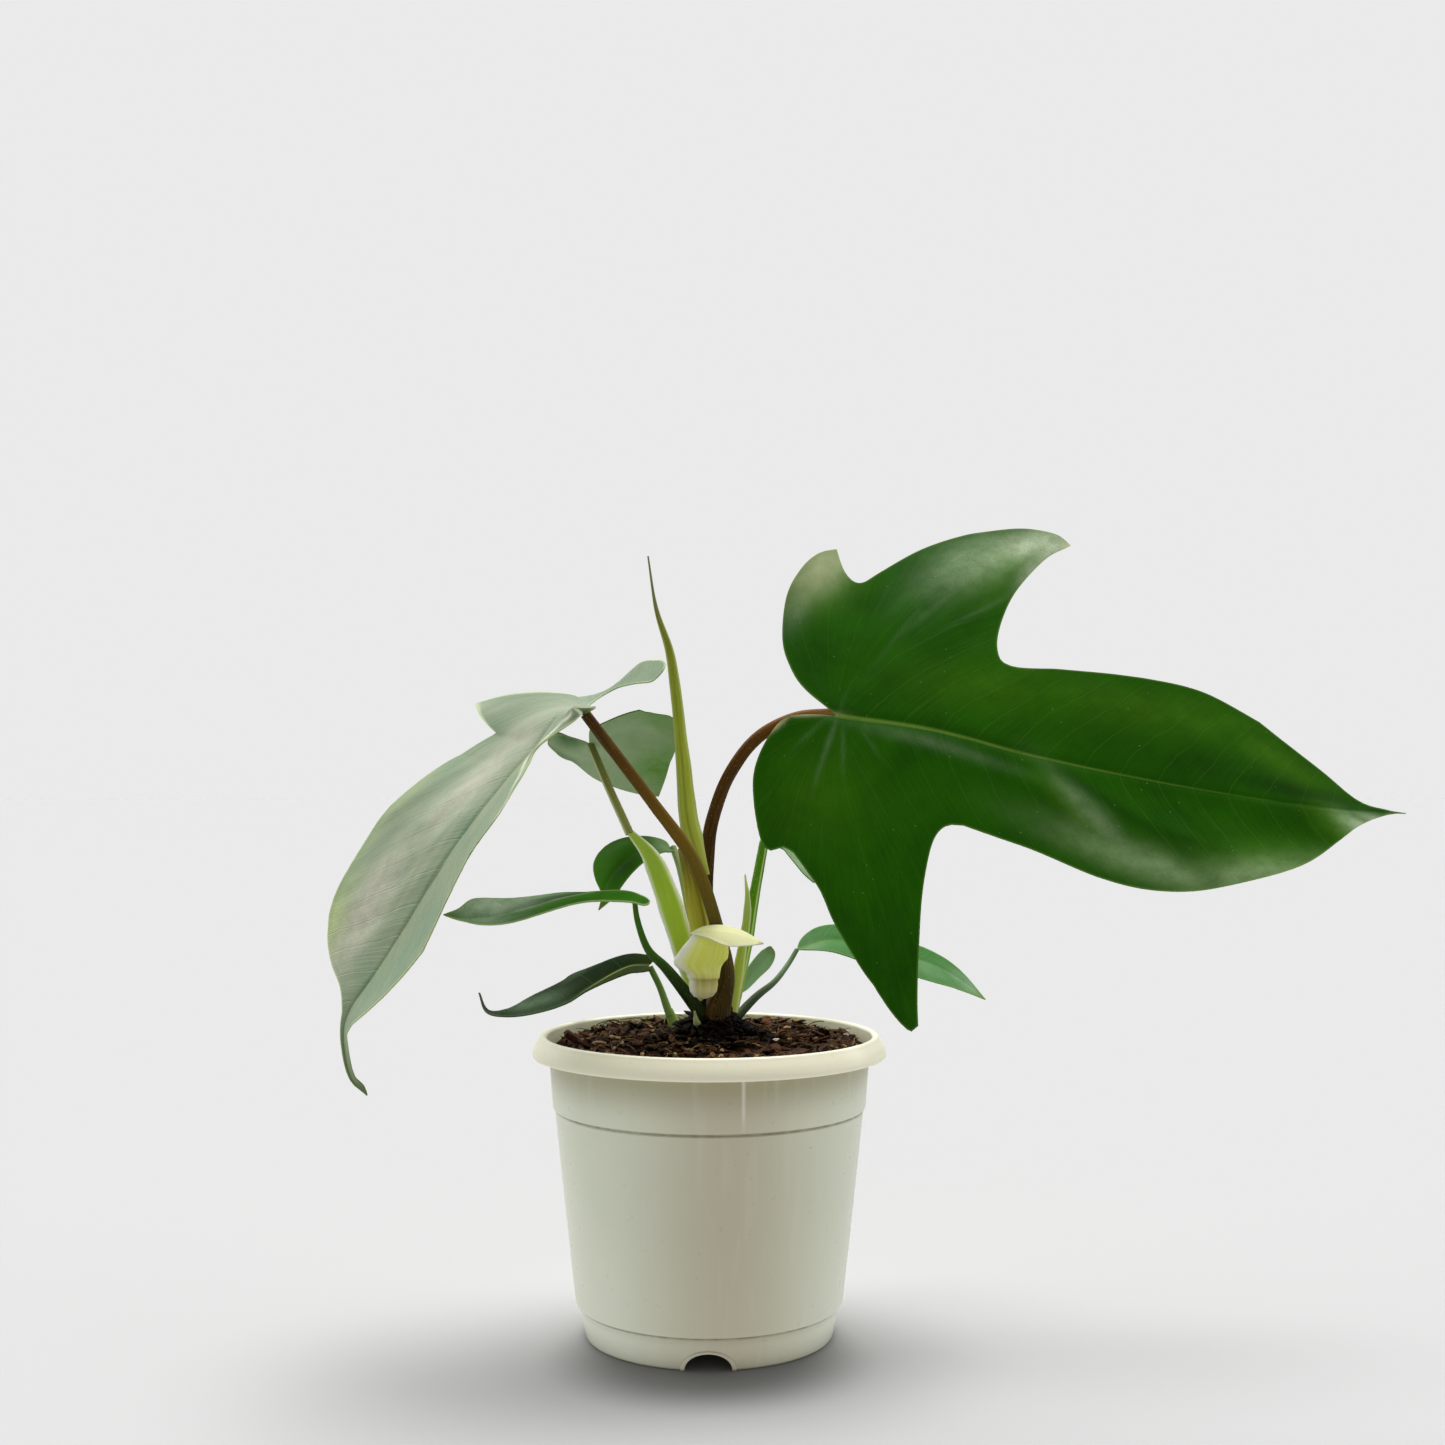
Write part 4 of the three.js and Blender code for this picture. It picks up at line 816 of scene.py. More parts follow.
# what the small leaves share unless their own dictionary says otherwise
smallUsual = {
    "fold": [1, 1, 1, 1], "curl": [0.2, 0.2], "back": 0.2, "cell": 3, "spacing": 1.2, "groove": 0.4,
}
smallLeaves = {
    "leaf_back": {
        "rib": [[-45, 30, 208], [-38, 38, 205], [-29, 50, 196], [-20, 58, 185]],
        "face": [[0.1, 0.6, 0.8], [0.3, 0.75, 0.6]], "fold": [5, 5, 5, 5], "curl": [0.1, 0.1],
        "outline": [
            [[0, 0], [-8, 2], [-14, 3], [-11, 11], [-3, 15], [6, 18], [23, 18.5], [31, 13.5], [37.5, 6],
             [42, -2]],
            [[42, -2], [34, -11.5], [23.5, -21], [15.5, -27.5], [9.5, -32], [5, -29], [-3, -28]],
            [[-3, -28], [-5.5, -22], [-7, -13], [-7, -7], [0, 0]],
        ],
        "slot": "leaf_under", "seed": 12,
        "dark": [(-8, 3, 9, 5, 30, 0.95), (0, 16, 16, 2.5, 10, 0.7)],
        "warm": [(30, -12, 14, 14, 30, 0.9), (8, -28, 10, 6, 0, 0.6)], "pale": [(12, 2, 12, 9, 0, 0.6)],
        "look": greenLook,
        "underLook": {
            **underLook, "base": "#a6bc94", "deep": "#8aa876", "dark": "#34641a", "warm": "#5c9420",
            "pale": "#b0c49c", "rib": 0.5,
        },
    },
    "leaf_small": {
        "rib": [[-15, 34, 169], [-20, 31, 169.5], [-30, 26, 165.5], [-37, 24, 158], [-41, 24, 147]],
        "face": [[-0.1, -0.5, 0.86], [-0.5, -0.7, 0.5]],
        "outline": [
            [[0, 0], [0, 4], [7, 5.5], [12, 6], [20, 7.4], [29, 7.3], [35, 5], [41, 0]],
            [[41, 0], [35, -1], [31, -6.5], [26.5, -12], [20, -13.5], [11, -11.5], [3, -6.5], [0, -4],
             [0, 0]],
        ],
        "slot": "leaf_green", "seed": 15,
        "pale": [(4, 1, 9, 7, 0, 0.6), (14, -9, 9, 3, -10, 0.3)], "dark": [(22, 2, 10, 4, 0, 0.6)],
        "look": {**greenLook, "base": "#3f7e02", "deep": "#306c01", "pale": "#86a070", "rib": 0.2,
                 "gloss": 0.05},
    },
    "leaf_middle": {
        "rib": [
            [-24, -2, 153.9], [-28, -3, 155.2], [-36.5, -4, 155.4], [-49.5, -6, 153.2], [-63, -8, 149.3],
            [-76, -10, 146.2], [-87, -11, 145.8], [-93, -12, 147.2],
        ],
        "face": [[0, -0.12, 1], [0, -0.15, 0.98], [0, -0.25, 0.97]], "fold": [-18, -12, -35, 44],
        "curl": [0.4, 0.02],
        "outline": [
            [[0, 0], [-3, 4], [0, 8], [10, 9], [22, 7], [34, 7], [47, 7], [57, 5], [64, 2], [71, 0]],
            [[71, 0], [66, -4], [61, -9], [53, -10], [41, -9], [25, -10], [10, -10], [0, -8], [-3, -4],
             [0, 0]],
        ],
        "groove": 0.5, "slot": "leaf_green", "seed": 18,
        # pale zones: painted light where the leaf above shades this blade, and a pale line on the midrib; the
        # dark zone is a painted shadow in the slit between the halves
        "pale": [(56, -6, 20, 8, 0, 1.0), (42, -8, 14, 4, 0, 0.8), (34, 0, 40, 0.5, 0, 0.9),
                 (60, 4, 15, 6, 0, 0.75)],
        "dark": [(34, -3, 16, 2.4, 0, 1.0)],
        "look": {**greenLook, "base": "#3f8004", "deep": "#306c02", "dark": "#0c2004", "pale": "#cbdcc0",
                 "margin": 0.8, "marginColour": "#a8c080", "gloss": 0.04, "rough": 0.6},
        "underLook": {**underLook, "base": "#3f7d22", "deep": "#2f6a14", "streak": "#5f9440", "margin": 0.5,
                      "gloss": 0.05},
    },
    "leaf_low": {
        "rib": [
            [-23, 32, 125], [-30, 33, 124.8], [-46.7, 35, 116.3], [-53.5, 36, 111.8], [-64, 38, 108],
            [-77, 40, 105.8], [-84, 41, 107], [-87.5, 42, 114.5],
        ],
        "face": [[0, -0.4, 0.9], [-0.1, -0.42, 0.88], [0, -0.4, 0.85]], "fold": [1, -8, 20, 18],
        "curl": [0.3, 0.3],
        "outline": [
            [[0, 0], [-1.5, 4], [4, 5.6], [11, 5], [19, 3.4], [28, 2], [43, 1.4], [53, 1.1], [60, 0.8],
             [67, 0.6], [74, 0.3]],
            [[74, 0.3], [74, -0.3], [67, -0.8], [59, -3], [50, -7.5], [41, -10], [31, -10.4], [20, -8],
             [8, -6], [-1.5, -4], [0, 0]],
        ],
        "spacing": 1.0, "slot": "leaf_dark", "seed": 21, "tipLength": 14,
        "pale": [(48, -4, 14, 4, 0, 0.8), (24, -9, 14, 2, 0, 0.4)],
        "warm": [(-1, 0, 7, 8, 0, 0.9), (14, 3, 16, 3.5, 0, 0.9)], "brown": [(13, 0.4, 13, 0.45, 3, 0.7)],
        "dark": [(30, -6, 22, 3, 0, 0.6)],
        "look": {
            **greenLook, "base": "#2a3c22", "deep": "#1a2814", "streak": "#3c4e30", "dark": "#131f0c",
            "warm": "#35430a", "pale": "#6a8064", "brown": "#a4b470", "rib": 0.05, "margin": 0.05,
            "tipColour": "#7c7d70", "rough": 0.6, "gloss": 0.04,
        },
    },
    "leaf_far": {
        "rib": [[33, 48, 130], [46, 50, 133], [65, 52, 129], [88, 54, 122], [106, 55, 110]],
        "face": [[0.1, -0.6, 0.8], [0.3, -0.6, 0.75]],
        "outline": [
            [[0, 0], [2, 3], [6, 5.7], [13, 8], [30, 10], [50, 7.5], [58, 6.3], [68, 4], [79, -0.6]],
            [[79, -0.6], [73, -3], [66, -6], [58, -9], [50, -10.2], [35, -11], [21, -8.8], [12, -6.5],
             [5, -3], [0, 0]],
        ],
        "slot": "leaf_green", "seed": 24,
        "pale": [(72, 0, 12, 5, 0, 0.8), (56, -4, 14, 5, 0, 0.4), (5, 0, 6, 5, 0, 0.5)],
        "look": {**greenLook, "base": "#4c8440", "deep": "#3c7632", "streak": "#62965a", "pale": "#8fae88",
                 "specks": 0.5, "rib": 0.35},
    },
    "leaf_narrow": {
        "rib": [[10, 16, 116], [16, 24, 123.5], [21.5, 30, 129.5], [23, 32, 133]],
        "face": [[0.4, -0.9, 0.2], [0.4, -0.9, 0.2]], "fold": [8, 8, 8, 8], "curl": [0.5, 0.5],
        "outline": [
            [[0, 0], [5, 2], [14, 3], [21, 3], [25, 1.4], [26, 0]],
            [[26, 0], [24, -2.5], [19, -3.6], [12, -3], [5, -2], [0, 0]],
        ],
        "cell": 2, "spacing": 0.8, "groove": 0.3, "slot": "leaf_under", "seed": 27,
        "look": {**greenLook, "base": "#8cb280", "deep": "#7ca470", "streak": "#94b488", "rib": 0.15},
    },
    "leaf_inner": {
        "rib": [[21, 12, 171.5], [32, 23, 170], [47, 36, 156], [67, 46, 126]],
        "face": [[0.1, -0.6, 0.8], [0.5, -0.6, 0.65]], "fold": [2, 2, 2, 2],
        "outline": [
            [[0, 0], [4, 6], [14, 12], [28, 14], [42, 10], [54, 5], [67, 0]],
            [[67, 0], [54, -5], [42, -8], [30, -13], [16, -22], [2, -25]],
            [[2, -25], [1.7, -19], [3.5, -9], [4.5, -3.5], [0, 0]],
        ],
        "spacing": 1.5, "slot": "leaf_green", "seed": 30,
        "pale": [(4, -16, 6, 12, 0, 0.6)],
        "look": {**greenLook, "base": "#5a8450", "deep": "#3f7426", "pale": "#a0b692"},
    },
}

finishPiece(bladePiece("right_leaf_blade", leafRight), "leaf_green", "leaf_right")
finishPiece(bladePiece("left_leaf_blade", leafLeft), "leaf_pale", "leaf_left")
for node, leaf in smallLeaves.items():
    made = bladePiece(node.replace("leaf_", "") + "_leaf_blade", {**smallUsual, **leaf})
    finishPiece(made, leaf["slot"], node)
print("leaves made")


# what a stalk has unless its own dictionary says otherwise
stalkUsual = {
    "sides": 28, "ring": 1.5, "sink": 1.2, "reach": 0.8, "ridges": 0.02, "ridgeCount": 9, "uneven": 0.05,
    "flat": 1, "channel": None,
}


def stalkPiece(name, stalk):
    # a cylinder cut into rings, then carried along its curve; flat squashes it front to back
    stalk = {**stalkUsual, **stalk}
    points, tangents, lengths = bentCurve(stalk["route"])
    piece, t, turn, out = ringedCylinder(name, stalk["sides"], max(8, round(lengths[-1] / stalk["ring"])))
    t = np.clip(t, 0, 1)
    here = t * lengths[-1]
    along = unitRows(alongCurve(tangents, lengths, here))
    point = alongCurve(points, lengths, here) - along * (stalk["sink"] * (t < 1e-6))[:, None]
    point = point + along * (stalk["reach"] * (t > 1 - 1e-6))[:, None]
    thin = unitRows(np.array([0, 1, 0]) - along * along[:, 1:2])
    wide = np.cross(along, thin)
    radii = np.asarray(stalk["radii"], float)
    radius = np.interp(t * (len(radii) - 1), np.arange(len(radii)), radii)
    ridge = 1 + stalk["ridges"] * np.cos(turn * stalk["ridgeCount"] + t * 2)
    uneven = np.array([
        noise.noise(Vector((h / 9, math.cos(a), math.sin(a) + stalk["seed"]))) for h, a in zip(here, turn)
    ])
    ridge = ridge * (1 + stalk["uneven"] * uneven)
    if stalk["channel"]:  # the channel on a stalk's upper side
        angle, depth, width = stalk["channel"]
        apart = np.abs((turn - math.radians(angle) + math.pi) % (2 * math.pi) - math.pi)
        ridge = ridge * (1 - depth * np.exp(-((apart / width) ** 2)))
    radius = radius * out * ridge
    places = point + wide * (np.cos(turn) * radius)[:, None]
    places = places + thin * (np.sin(turn) * radius * stalk["flat"])[:, None]
    storeVectors(piece, "stalkPlace", np.stack([here, turn * radii.max(), t], -1))
    storeVectors(piece, "stalkRound", np.stack([np.cos(turn), np.sin(turn), here / 10], -1))
    moveVertices(piece, toFrame(places))
    pick(piece)
    bpy.ops.object.mode_set(mode="EDIT")
    bpy.ops.mesh.select_all(action="SELECT")
    bpy.ops.mesh.normals_make_consistent(inside=False)
    bpy.ops.object.mode_set(mode="OBJECT")
    return smoothBy(piece, 60)


# Stalk skin: fine lengthwise fibres and raised pale dots on a satin surface.
def stalkMaterial(name, look):
    material, tree = newMaterial(name)
    place, rounded = (
        addNode(tree, "Attribute", {"attribute_name": layer}).outputs["Vector"]
        for layer in ("stalkPlace", "stalkRound")
    )
    share = addNode(tree, "SeparateXYZ", None, {0: place}).outputs[2]
    aside = addNode(tree, "SeparateXYZ", None, {0: rounded}).outputs[0]
    ramp = addNode(tree, "ValToRGB", None, {0: share})
    ramp.color_ramp.interpolation = "B_SPLINE"
    for k, (position, colour) in enumerate(look["colours"]):
        element = ramp.color_ramp.elements[k] if k < 2 else ramp.color_ramp.elements.new(position)
        element.position, element.color = position, hexColour(colour)
    fibrePlace = addNode(tree, "Mapping", None, {"Vector": rounded, "Scale": (7.0, 7.0, 0.9)})
    fibres = addNode(tree, "TexNoise", None, {"Vector": fibrePlace, "Scale": 1.0, "Detail": 4.0})
    fibrous = addNode(tree, "MapRange", None, {
        "Value": fibres, "From Min": 0.42, "From Max": 0.7, "To Max": look["fibres"]})
    layers = [(look["fibre"], fibrous)]
    if look.get("stripe"):  # a stripe down one side
        at, width, strength, shade = look["stripe"]
        layers.append((shade, nearness(tree, aside, at, width, strength)))
    if look.get("edges"):  # both edges of the stalk, as seen from the front
        strength, shade = look["edges"]
        outward = addNode(tree, "Math", {"operation": "ABSOLUTE"}, {0: aside})
        layers.append((shade, addNode(tree, "MapRange", smoothStep, {
            "Value": outward, "From Min": 0.55, "From Max": 0.98, "To Max": strength})))
    # pale dots, 0.3 mm
    dots = addNode(tree, "TexVoronoi", None, {"Vector": place, "Scale": 0.75, "Randomness": 1.0})
    dotted = addNode(tree, "MapRange", None, {
        "Value": dots.outputs["Distance"], "From Min": 0.08, "From Max": 0.2,
        "To Min": look["dots"], "To Max": 0.0})
    colour = paintLayers(tree, ramp.outputs[0], [*layers, (look["dot"], dotted)])
    height = addNode(tree, "Math", {"operation": "MULTIPLY_ADD"}, {0: dotted, 1: 0.8, 2: fibres})
    relief = addNode(tree, "Bump", None, {"Height": height, "Strength": 0.5, "Distance": 0.0002})
    rough = addNode(tree, "MapRange", None, {
        "Value": fibres, "From Min": 0.3, "From Max": 0.7,
        "To Min": look["rough"] - 0.06, "To Max": look["rough"] + 0.08})
    closeMaterial(tree, addNode(tree, "BsdfPrincipled", None, {
        "Base Color": colour, "Roughness": rough, "IOR": 1.45, "Normal": relief,
        "Specular IOR Level": 0.13, "Subsurface Weight": look.get("glow", 0.0),
        "Subsurface Radius": (0.003, 0.003, 0.0015), "Subsurface Scale": 1.0,
    }))
    return material


brownLook = {
    "colours": [(0.0, "#2a1d0c"), (0.25, "#4c4410"), (0.45, "#6e5f12"), (0.68, "#6c4a0a"), (1.0, "#2a1704")],
    "fibres": 0.4, "fibre": "#86621a", "dots": 0.5, "dot": "#b8944e", "rough": 0.5,
}
oliveLook = {
    "colours": [(0.0, "#9fae4a"), (0.3, "#8a9a2c"), (0.75, "#6c7a14"), (1.0, "#5b5a55")],
    "fibres": 0.5, "fibre": "#c4ce86", "dots": 0.0, "dot": "#c4ce86", "rough": 0.4,
}
brightLook = {
    "colours": [(0.0, "#d8ea60"), (0.5, "#bce02c"), (1.0, "#c4da64")],
    "fibres": 0.4, "fibre": "#d0ec70", "dots": 0.4, "dot": "#e8f4b4", "rough": 0.45,
    "edges": (0.95, "#f6fae4"), "glow": 0.5,
}
darkLook = {
    "colours": [(0.0, "#141a0a"), (0.4, "#233c12"), (1.0, "#3c5a22")],
    "fibres": 0.4, "fibre": "#4f6f30", "dots": 0.3, "dot": "#8fa86a", "rough": 0.45,
}

stalks = {
    "petiole_right": {
        "route": [[1, 6, 117], [-1, 8, 142], [-1, 8, 161.5], [1, 7, 179.5], [8, 4, 197.5], [18, 1, 209.8],
                  [31, -1, 216.2], [44, -3, 217.5]],
        "radii": [2.6, 2.6, 2.5, 2.3, 2.2, 2.1], "slot": "stalk_brown", "reach": 2.5, "seed": 2,
        "look": {
            **brownLook,
            "colours": [(0.0, "#33240c"), (0.3, "#2e1b05"), (0.7, "#4a2c08"), (0.85, "#6e4210"),
                        (1.0, "#a06c38")],
        },
    },
    "petiole_left": {
        "route": [
            [2.6, -3, 111], [3.6, -3, 116], [5.6, -4, 124], [5.4, -4.6, 131], [2.7, -6, 142.5],
            [-5.5, -11, 166], [-19.8, -16, 186.5], [-35.3, -20, 207], [-42, -21.8, 216],
        ],
        "radii": [5.0, 3.6, 2.5, 2.3, 2.3, 2.3, 2.2, 2.1, 2.0, 2.0, 1.9], "slot": "stalk_brown", "reach": 1.0,
        "seed": 5, "look": brownLook,
    },
    "spear_leaf": {
        "route": [[-1, 1, 161.5], [-6.6, 1, 176.5], [-9.4, 1, 201], [-12.1, 1, 226], [-14.4, 1, 240.5],
                  [-19, 1, 255], [-22, 1, 274]],
        "radii": [0.8, 3.6, 3.2, 2.7, 2.2, 2, 1.7, 1.1, 0.5, 0.3], "slot": "stalk_olive", "seed": 7,
        "sides": 36, "channel": (-75, 0.28, 0.22), "ridges": 0.03, "reach": 0.2,
        "look": {
            **oliveLook, "fibre": "#c0c860", "edges": (0.6, "#b9c47a"), "stripe": (0.2, 0.16, 0.5, "#8b9a2e"),
            "colours": [(0.0, "#c4cc56"), (0.25, "#aebc34"), (0.6, "#808e10"), (0.8, "#686a20"),
                        (1.0, "#6a6570")],
        },
    },
    "spear_sheath": {
        "route": [[-0.5, 2, 117], [-3.5, 2, 141.5], [-7, 2, 158.5], [-10, 2, 169]],
        "radii": [3.6, 3.6, 3.3, 1.2], "slot": "stalk_olive", "seed": 9, "sides": 32, "ridges": 0.03,
        "ridgeCount": 13,
        "look": {
            **oliveLook, "fibre": "#dcd65c", "stripe": (-0.6, 0.3, 0.8, "#8a7610"), "glow": 0.3,
            "colours": [(0.0, "#e2e26a"), (0.45, "#ccc83c"), (0.8, "#8e861c"), (1.0, "#57501a")],
        },
    },
    "petiole_back": {
        "route": [[-30, 22, 175.5], [-38.5, 27, 193.5], [-44.5, 30, 207]],
        "radii": [1.6, 1.55, 1.5], "slot": "stalk_dark", "seed": 11,
        "look": {**darkLook, "colours": [(0.0, "#a8a85c"), (0.5, "#96924a"), (1.0, "#545a24")],
                 "stripe": (0.75, 0.35, 0.9, "#d4dcb0"), "fibre": "#a8b468", "dots": 0.6, "dot": "#dce4b8"},
    },
    "sheath_back": {
        "route": [[-4.5, 9, 117], [-9.4, 10, 133.5], [-16.2, 16, 154], [-22, 20, 166.5], [-29.5, 22, 175]],
        "radii": [3.2, 4.2, 4.6, 3.9, 1.2], "flat": 0.5, "slot": "stalk_bright", "seed": 13, "sides": 36,
        "channel": (-90, 0.12, 0.5), "look": brightLook,
    },
    "petiole_small": {
        "route": [[-3, 14, 112], [-7, 16, 143], [-11, 26, 161], [-13.6, 32.6, 168.4]],
        "radii": [1.5, 1.4, 1.2], "slot": "stalk_olive", "seed": 15,
        "look": {**oliveLook, "colours": [(0.0, "#8f9a4a"), (0.6, "#9aa86a"), (1.0, "#7f8c5a")]},
    },
    "petiole_middle": {
        "route": [[-3, -4, 112], [-8.5, -5, 119.5], [-15.5, -4, 128], [-21.5, -3, 134], [-25.5, -2, 144.5],
                  [-26.5, -2, 151.5]],
        "radii": [2.4, 2.2, 1.9, 1.4, 1.1, 0.9], "slot": "stalk_dark", "seed": 17,
        "look": {
            **darkLook, "colours": [(0.0, "#0f1406"), (0.35, "#1f3308"), (0.6, "#3c6a12"), (1.0, "#4a7a1c")],
        },
    },
    "petiole_low": {
        "route": [[-15, 26, 108], [-18.5, 30, 117], [-22, 32, 123.8]],
        "radii": [1.5, 1.25, 1.15], "slot": "stalk_dark", "seed": 19,
        "look": {**darkLook, "colours": [(0.0, "#7f9c4c"), (1.0, "#56783a")], "fibre": "#88a456"},
    },
    "sheath_low": {
        "route": [[-10, 21, 97], [-12, 24, 102], [-15, 26, 108.5]],
        "radii": [2.2, 2.5, 1.6], "flat": 0.7, "slot": "stalk_olive", "seed": 21,
        "look": {**oliveLook, "colours": [(0.0, "#98a84c"), (1.0, "#84a048")]},
    },
    "petiole_inner": {
        "route": [[8.2, 6, 112], [11, 8, 124], [13.6, 10, 136.5], [16.5, 10, 154.5], [19.4, 11, 170]],
        "radii": [2.2, 2.2, 2.1, 1.9, 1.7], "slot": "stalk_bright", "seed": 23, "reach": 2,
        "look": {**brightLook, "colours": [(0.0, "#b8d04c"), (0.4, "#6ca814"), (1.0, "#4c8a0e")],
                 "stripe": (-0.55, 0.25, 0.9, "#dcea9c"), "fibre": "#8cc03a", "edges": None},
    },
    "sheath_inner": {
        "route": [[8, 1, 113], [11, 4, 130], [13.3, 5, 144], [13.6, 5, 152], [12.8, 5, 159.5]],
        "radii": [2.2, 2, 1.6, 1.4, 0.3], "flat": 0.5, "slot": "stalk_bright", "seed": 25,
        "look": {**brightLook, "colours": [(0.0, "#e0e878"), (0.5, "#b8d23c"), (1.0, "#a4b490")],
                 "edges": (0.6, "#eef4c8")},
    },
    "petiole_far": {
        "route": [[9, 9, 108], [16.5, 20, 114.5], [24, 32, 119], [30, 44, 125], [32.6, 47.4, 128.8]],
        "radii": [1.7, 1.5, 1.2, 1, 0.9], "slot": "stalk_dark", "seed": 27,
        "look": {**darkLook, "colours": [(0.0, "#0e1404"), (0.4, "#2c3c10"), (1.0, "#6a8a60")]},
    },
}
for node, stalk in stalks.items():
    name = node.replace("petiole", "stalk").replace("spear_leaf", "rolled_leaf").replace("spear", "rolled")
    made = stalkPiece(name + "_skin", stalk)
    made.data.materials.append(stalkMaterial(made.name + "_tissue", stalk["look"]))
    finishPiece(made, stalk["slot"], node)
print("stalks made")

# The cream scale leaf at the front: a pouch with a flap folded over its mouth.
cataphyllSet = {
    # height, left edge and right edge in millimetres, then depth front to back
    "levels": [
        (118.2, -3.2, -0.8, 1.0), (118.9, -5.3, 1.2, 2.2), (120.6, -6.7, 2.6, 3.0), (123.0, -7.1, 3.1, 3.3),
        (124.7, -6.9, 3.0, 3.1), (125.3, -7.5, 3.6, 4.3), (127.0, -8.0, 3.8, 4.7), (127.9, -9.4, 4.0, 4.6),
        (129.0, -11.4, 4.2, 4.4), (130.4, -12.4, 5.0, 4.3), (132.0, -12.2, 6.5, 4.2),
        (134.0, -10.8, 6.8, 4.0), (136.6, -8.9, 6.7, 3.7), (139.0, -7.0, 6.5, 2.9), (140.4, -6.0, 6.0, 1.8),
    ],
    "sides": 64, "rings": 60, "depthAt": -13.4,
    "look": {
        # the dark olive at 0.3 is a painted shadow under the hem
        "colours": [(0.0, "#e2dba6"), (0.18, "#dcd48e"), (0.3, "#a89e28"), (0.35, "#eaec90"),
                    (0.6, "#e4ea44"), (1.0, "#f0f480")],
        "fibres": 0.4, "fibre": "#fafbc8", "dots": 0.0, "dot": "#5a3c20", "rough": 0.5,
        "stripe": (-0.85, 0.5, 0.95, "#fcfcec"), "glow": 0.6,
    },
}


def pouchPiece(p):
    # each ring of the cylinder takes the width and depth of its level
    piece, t, turn, out = ringedCylinder("scale_leaf_pouch", p["sides"], p["rings"])
    heights, lefts, rights, depths = (np.array(column) for column in zip(*p["levels"]))
    z = heights[0] + t * (heights[-1] - heights[0])
    left, right, depth = (np.interp(z, heights, column) for column in (lefts, rights, depths))
    # lengthwise pleats, and a shallow valley between the broad left wing and the belly
    pleats = 1 + 0.015 * np.cos(turn * 17) * np.clip((z - 125) / 3, 0, 1)
    pleats = pleats - 0.25 * np.exp(-(((turn + 2.25) / 0.28) ** 2)) * np.clip((z - 127) / 4, 0, 1)
    x = (left + right) / 2 + (right - left) / 2 * np.cos(turn) * out
    y = p["depthAt"] + depth * np.sin(turn) * out * pleats
    lip = 0.5 * np.sin(turn * 3 + 1) * np.clip((z - 136) / 4, 0, 1)
    storeVectors(piece, "stalkPlace", np.stack([z, turn * 8, t], -1))
    storeVectors(piece, "stalkRound", np.stack([np.cos(turn), np.sin(turn), z / 30], -1))
    moveVertices(piece, toFrame(np.stack([x, y, z + lip], -1)))
    return smoothBy(piece, 50)


pouch = pouchPiece(cataphyllSet)
pouch.data.materials.append(stalkMaterial("scale_leaf_pouch_tissue", cataphyllSet["look"]))
finishPiece(pouch, "cataphyll", "cataphyll")

flapSet = {
    "rib": [[-6.3, -14, 140.6], [0, -15, 141.2], [8, -16, 140.6], [19, -17, 137.4]],
    "face": [[-0.1, -0.55, 0.83], [0.3, -0.45, 0.85]], "fold": [-6, -4, -10, -4], "curl": [1.5, 2.5],
    "back": 0.2,
    "outline": [
        [[0, 0], [2, 2.4], [6, 4.6], [13, 5.8], [20, 3.6], [25.8, 0]],
        [[25.8, 0], [20, -3.8], [13, -5.4], [6, -2.6], [0, 0]],
    ],
    "cell": 2, "spacing": 0.8, "lumps": 0.2, "ripple": 0.25, "seed": 33, "tipLength": 2.5,
    "veinLean": (3.0, 1.0),
    "look": {
        **greenLook, "base": "#fdfdb8", "deep": "#f8fa9e", "streak": "#fefed8", "glow": 0.4, "streaks": 0.6,
        "dark": "#c3c878", "warm": "#d6dc86", "pale": "#f6f7e0", "vein": "#cdd484", "veins": 0.4,
        "veinGap": 1.6, "rib": 0.3, "ribColour": "#c9cf7c", "margin": 0.5, "marginColour": "#f4f4dc",
        "tip": 0.9, "tipColour": "#7a5a30", "specks": 0.0, "rough": 0.45, "gloss": 0.3,
    },
}
flapSet["underLook"] = flapSet["look"]
finishPiece(bladePiece("scale_leaf_flap", flapSet), "cataphyll", "cataphyll_flap")

budSet = {
    "route": [[-2.8, -8, 106.5], [-4.4, -9.5, 109.5], [-5, -9, 112.6]],
    "radii": [0.9, 1.3, 0.4], "ring": 0.5, "seed": 35,
    "look": {
        **brightLook, "colours": [(0.0, "#7c7f4c"), (0.5, "#a9ae74"), (1.0, "#8f9560")],
        "edges": None, "fibre": "#b8bc8c",
    },
}
bud = stalkPiece("stem_bud", budSet)
bud.data.materials.append(stalkMaterial("stem_bud_tissue", budSet["look"]))
finishPiece(bud, "bud", "bud")

stemSet = {
    "levels": [  # height and half width
        (94, 8.5), (98, 10), (102, 11), (106, 10.6), (109, 9.6), (112, 8.2), (114.5, 6.4), (116.5, 4.4),
        (118, 2.0),
    ],
    "squash": 0.68, "across": 1.5, "sides": 64, "rings": 44,
}


def stemPiece(p):
    # a knobbly stump with the faint rings that fallen leaves leave
    piece, t, turns, out = ringedCylinder("stem_base", p["sides"], p["rings"])
    low, high = p["levels"][0][0], p["levels"][-1][0]
    heights = low + t * (high - low)
    widths = np.interp(heights, *zip(*p["levels"]))
    rough = np.array([
        noise.fractal(Vector((math.cos(a) * 1.8, math.sin(a) * 1.8, h / 5)), 1.0, 2.0, 5)
        for a, h in zip(turns, heights)
    ])
    scars = 0.06 * np.sin(heights * 2.1 + 1.3 * np.cos(turns))
    spread = out * widths * (0.94 + 0.14 * rough + scars)
    x, y = p["across"] + spread * np.cos(turns), spread * np.sin(turns) * p["squash"]
    moveVertices(piece, toFrame(np.stack([x, y, heights + 0.3 * rough], -1)))
    return piece


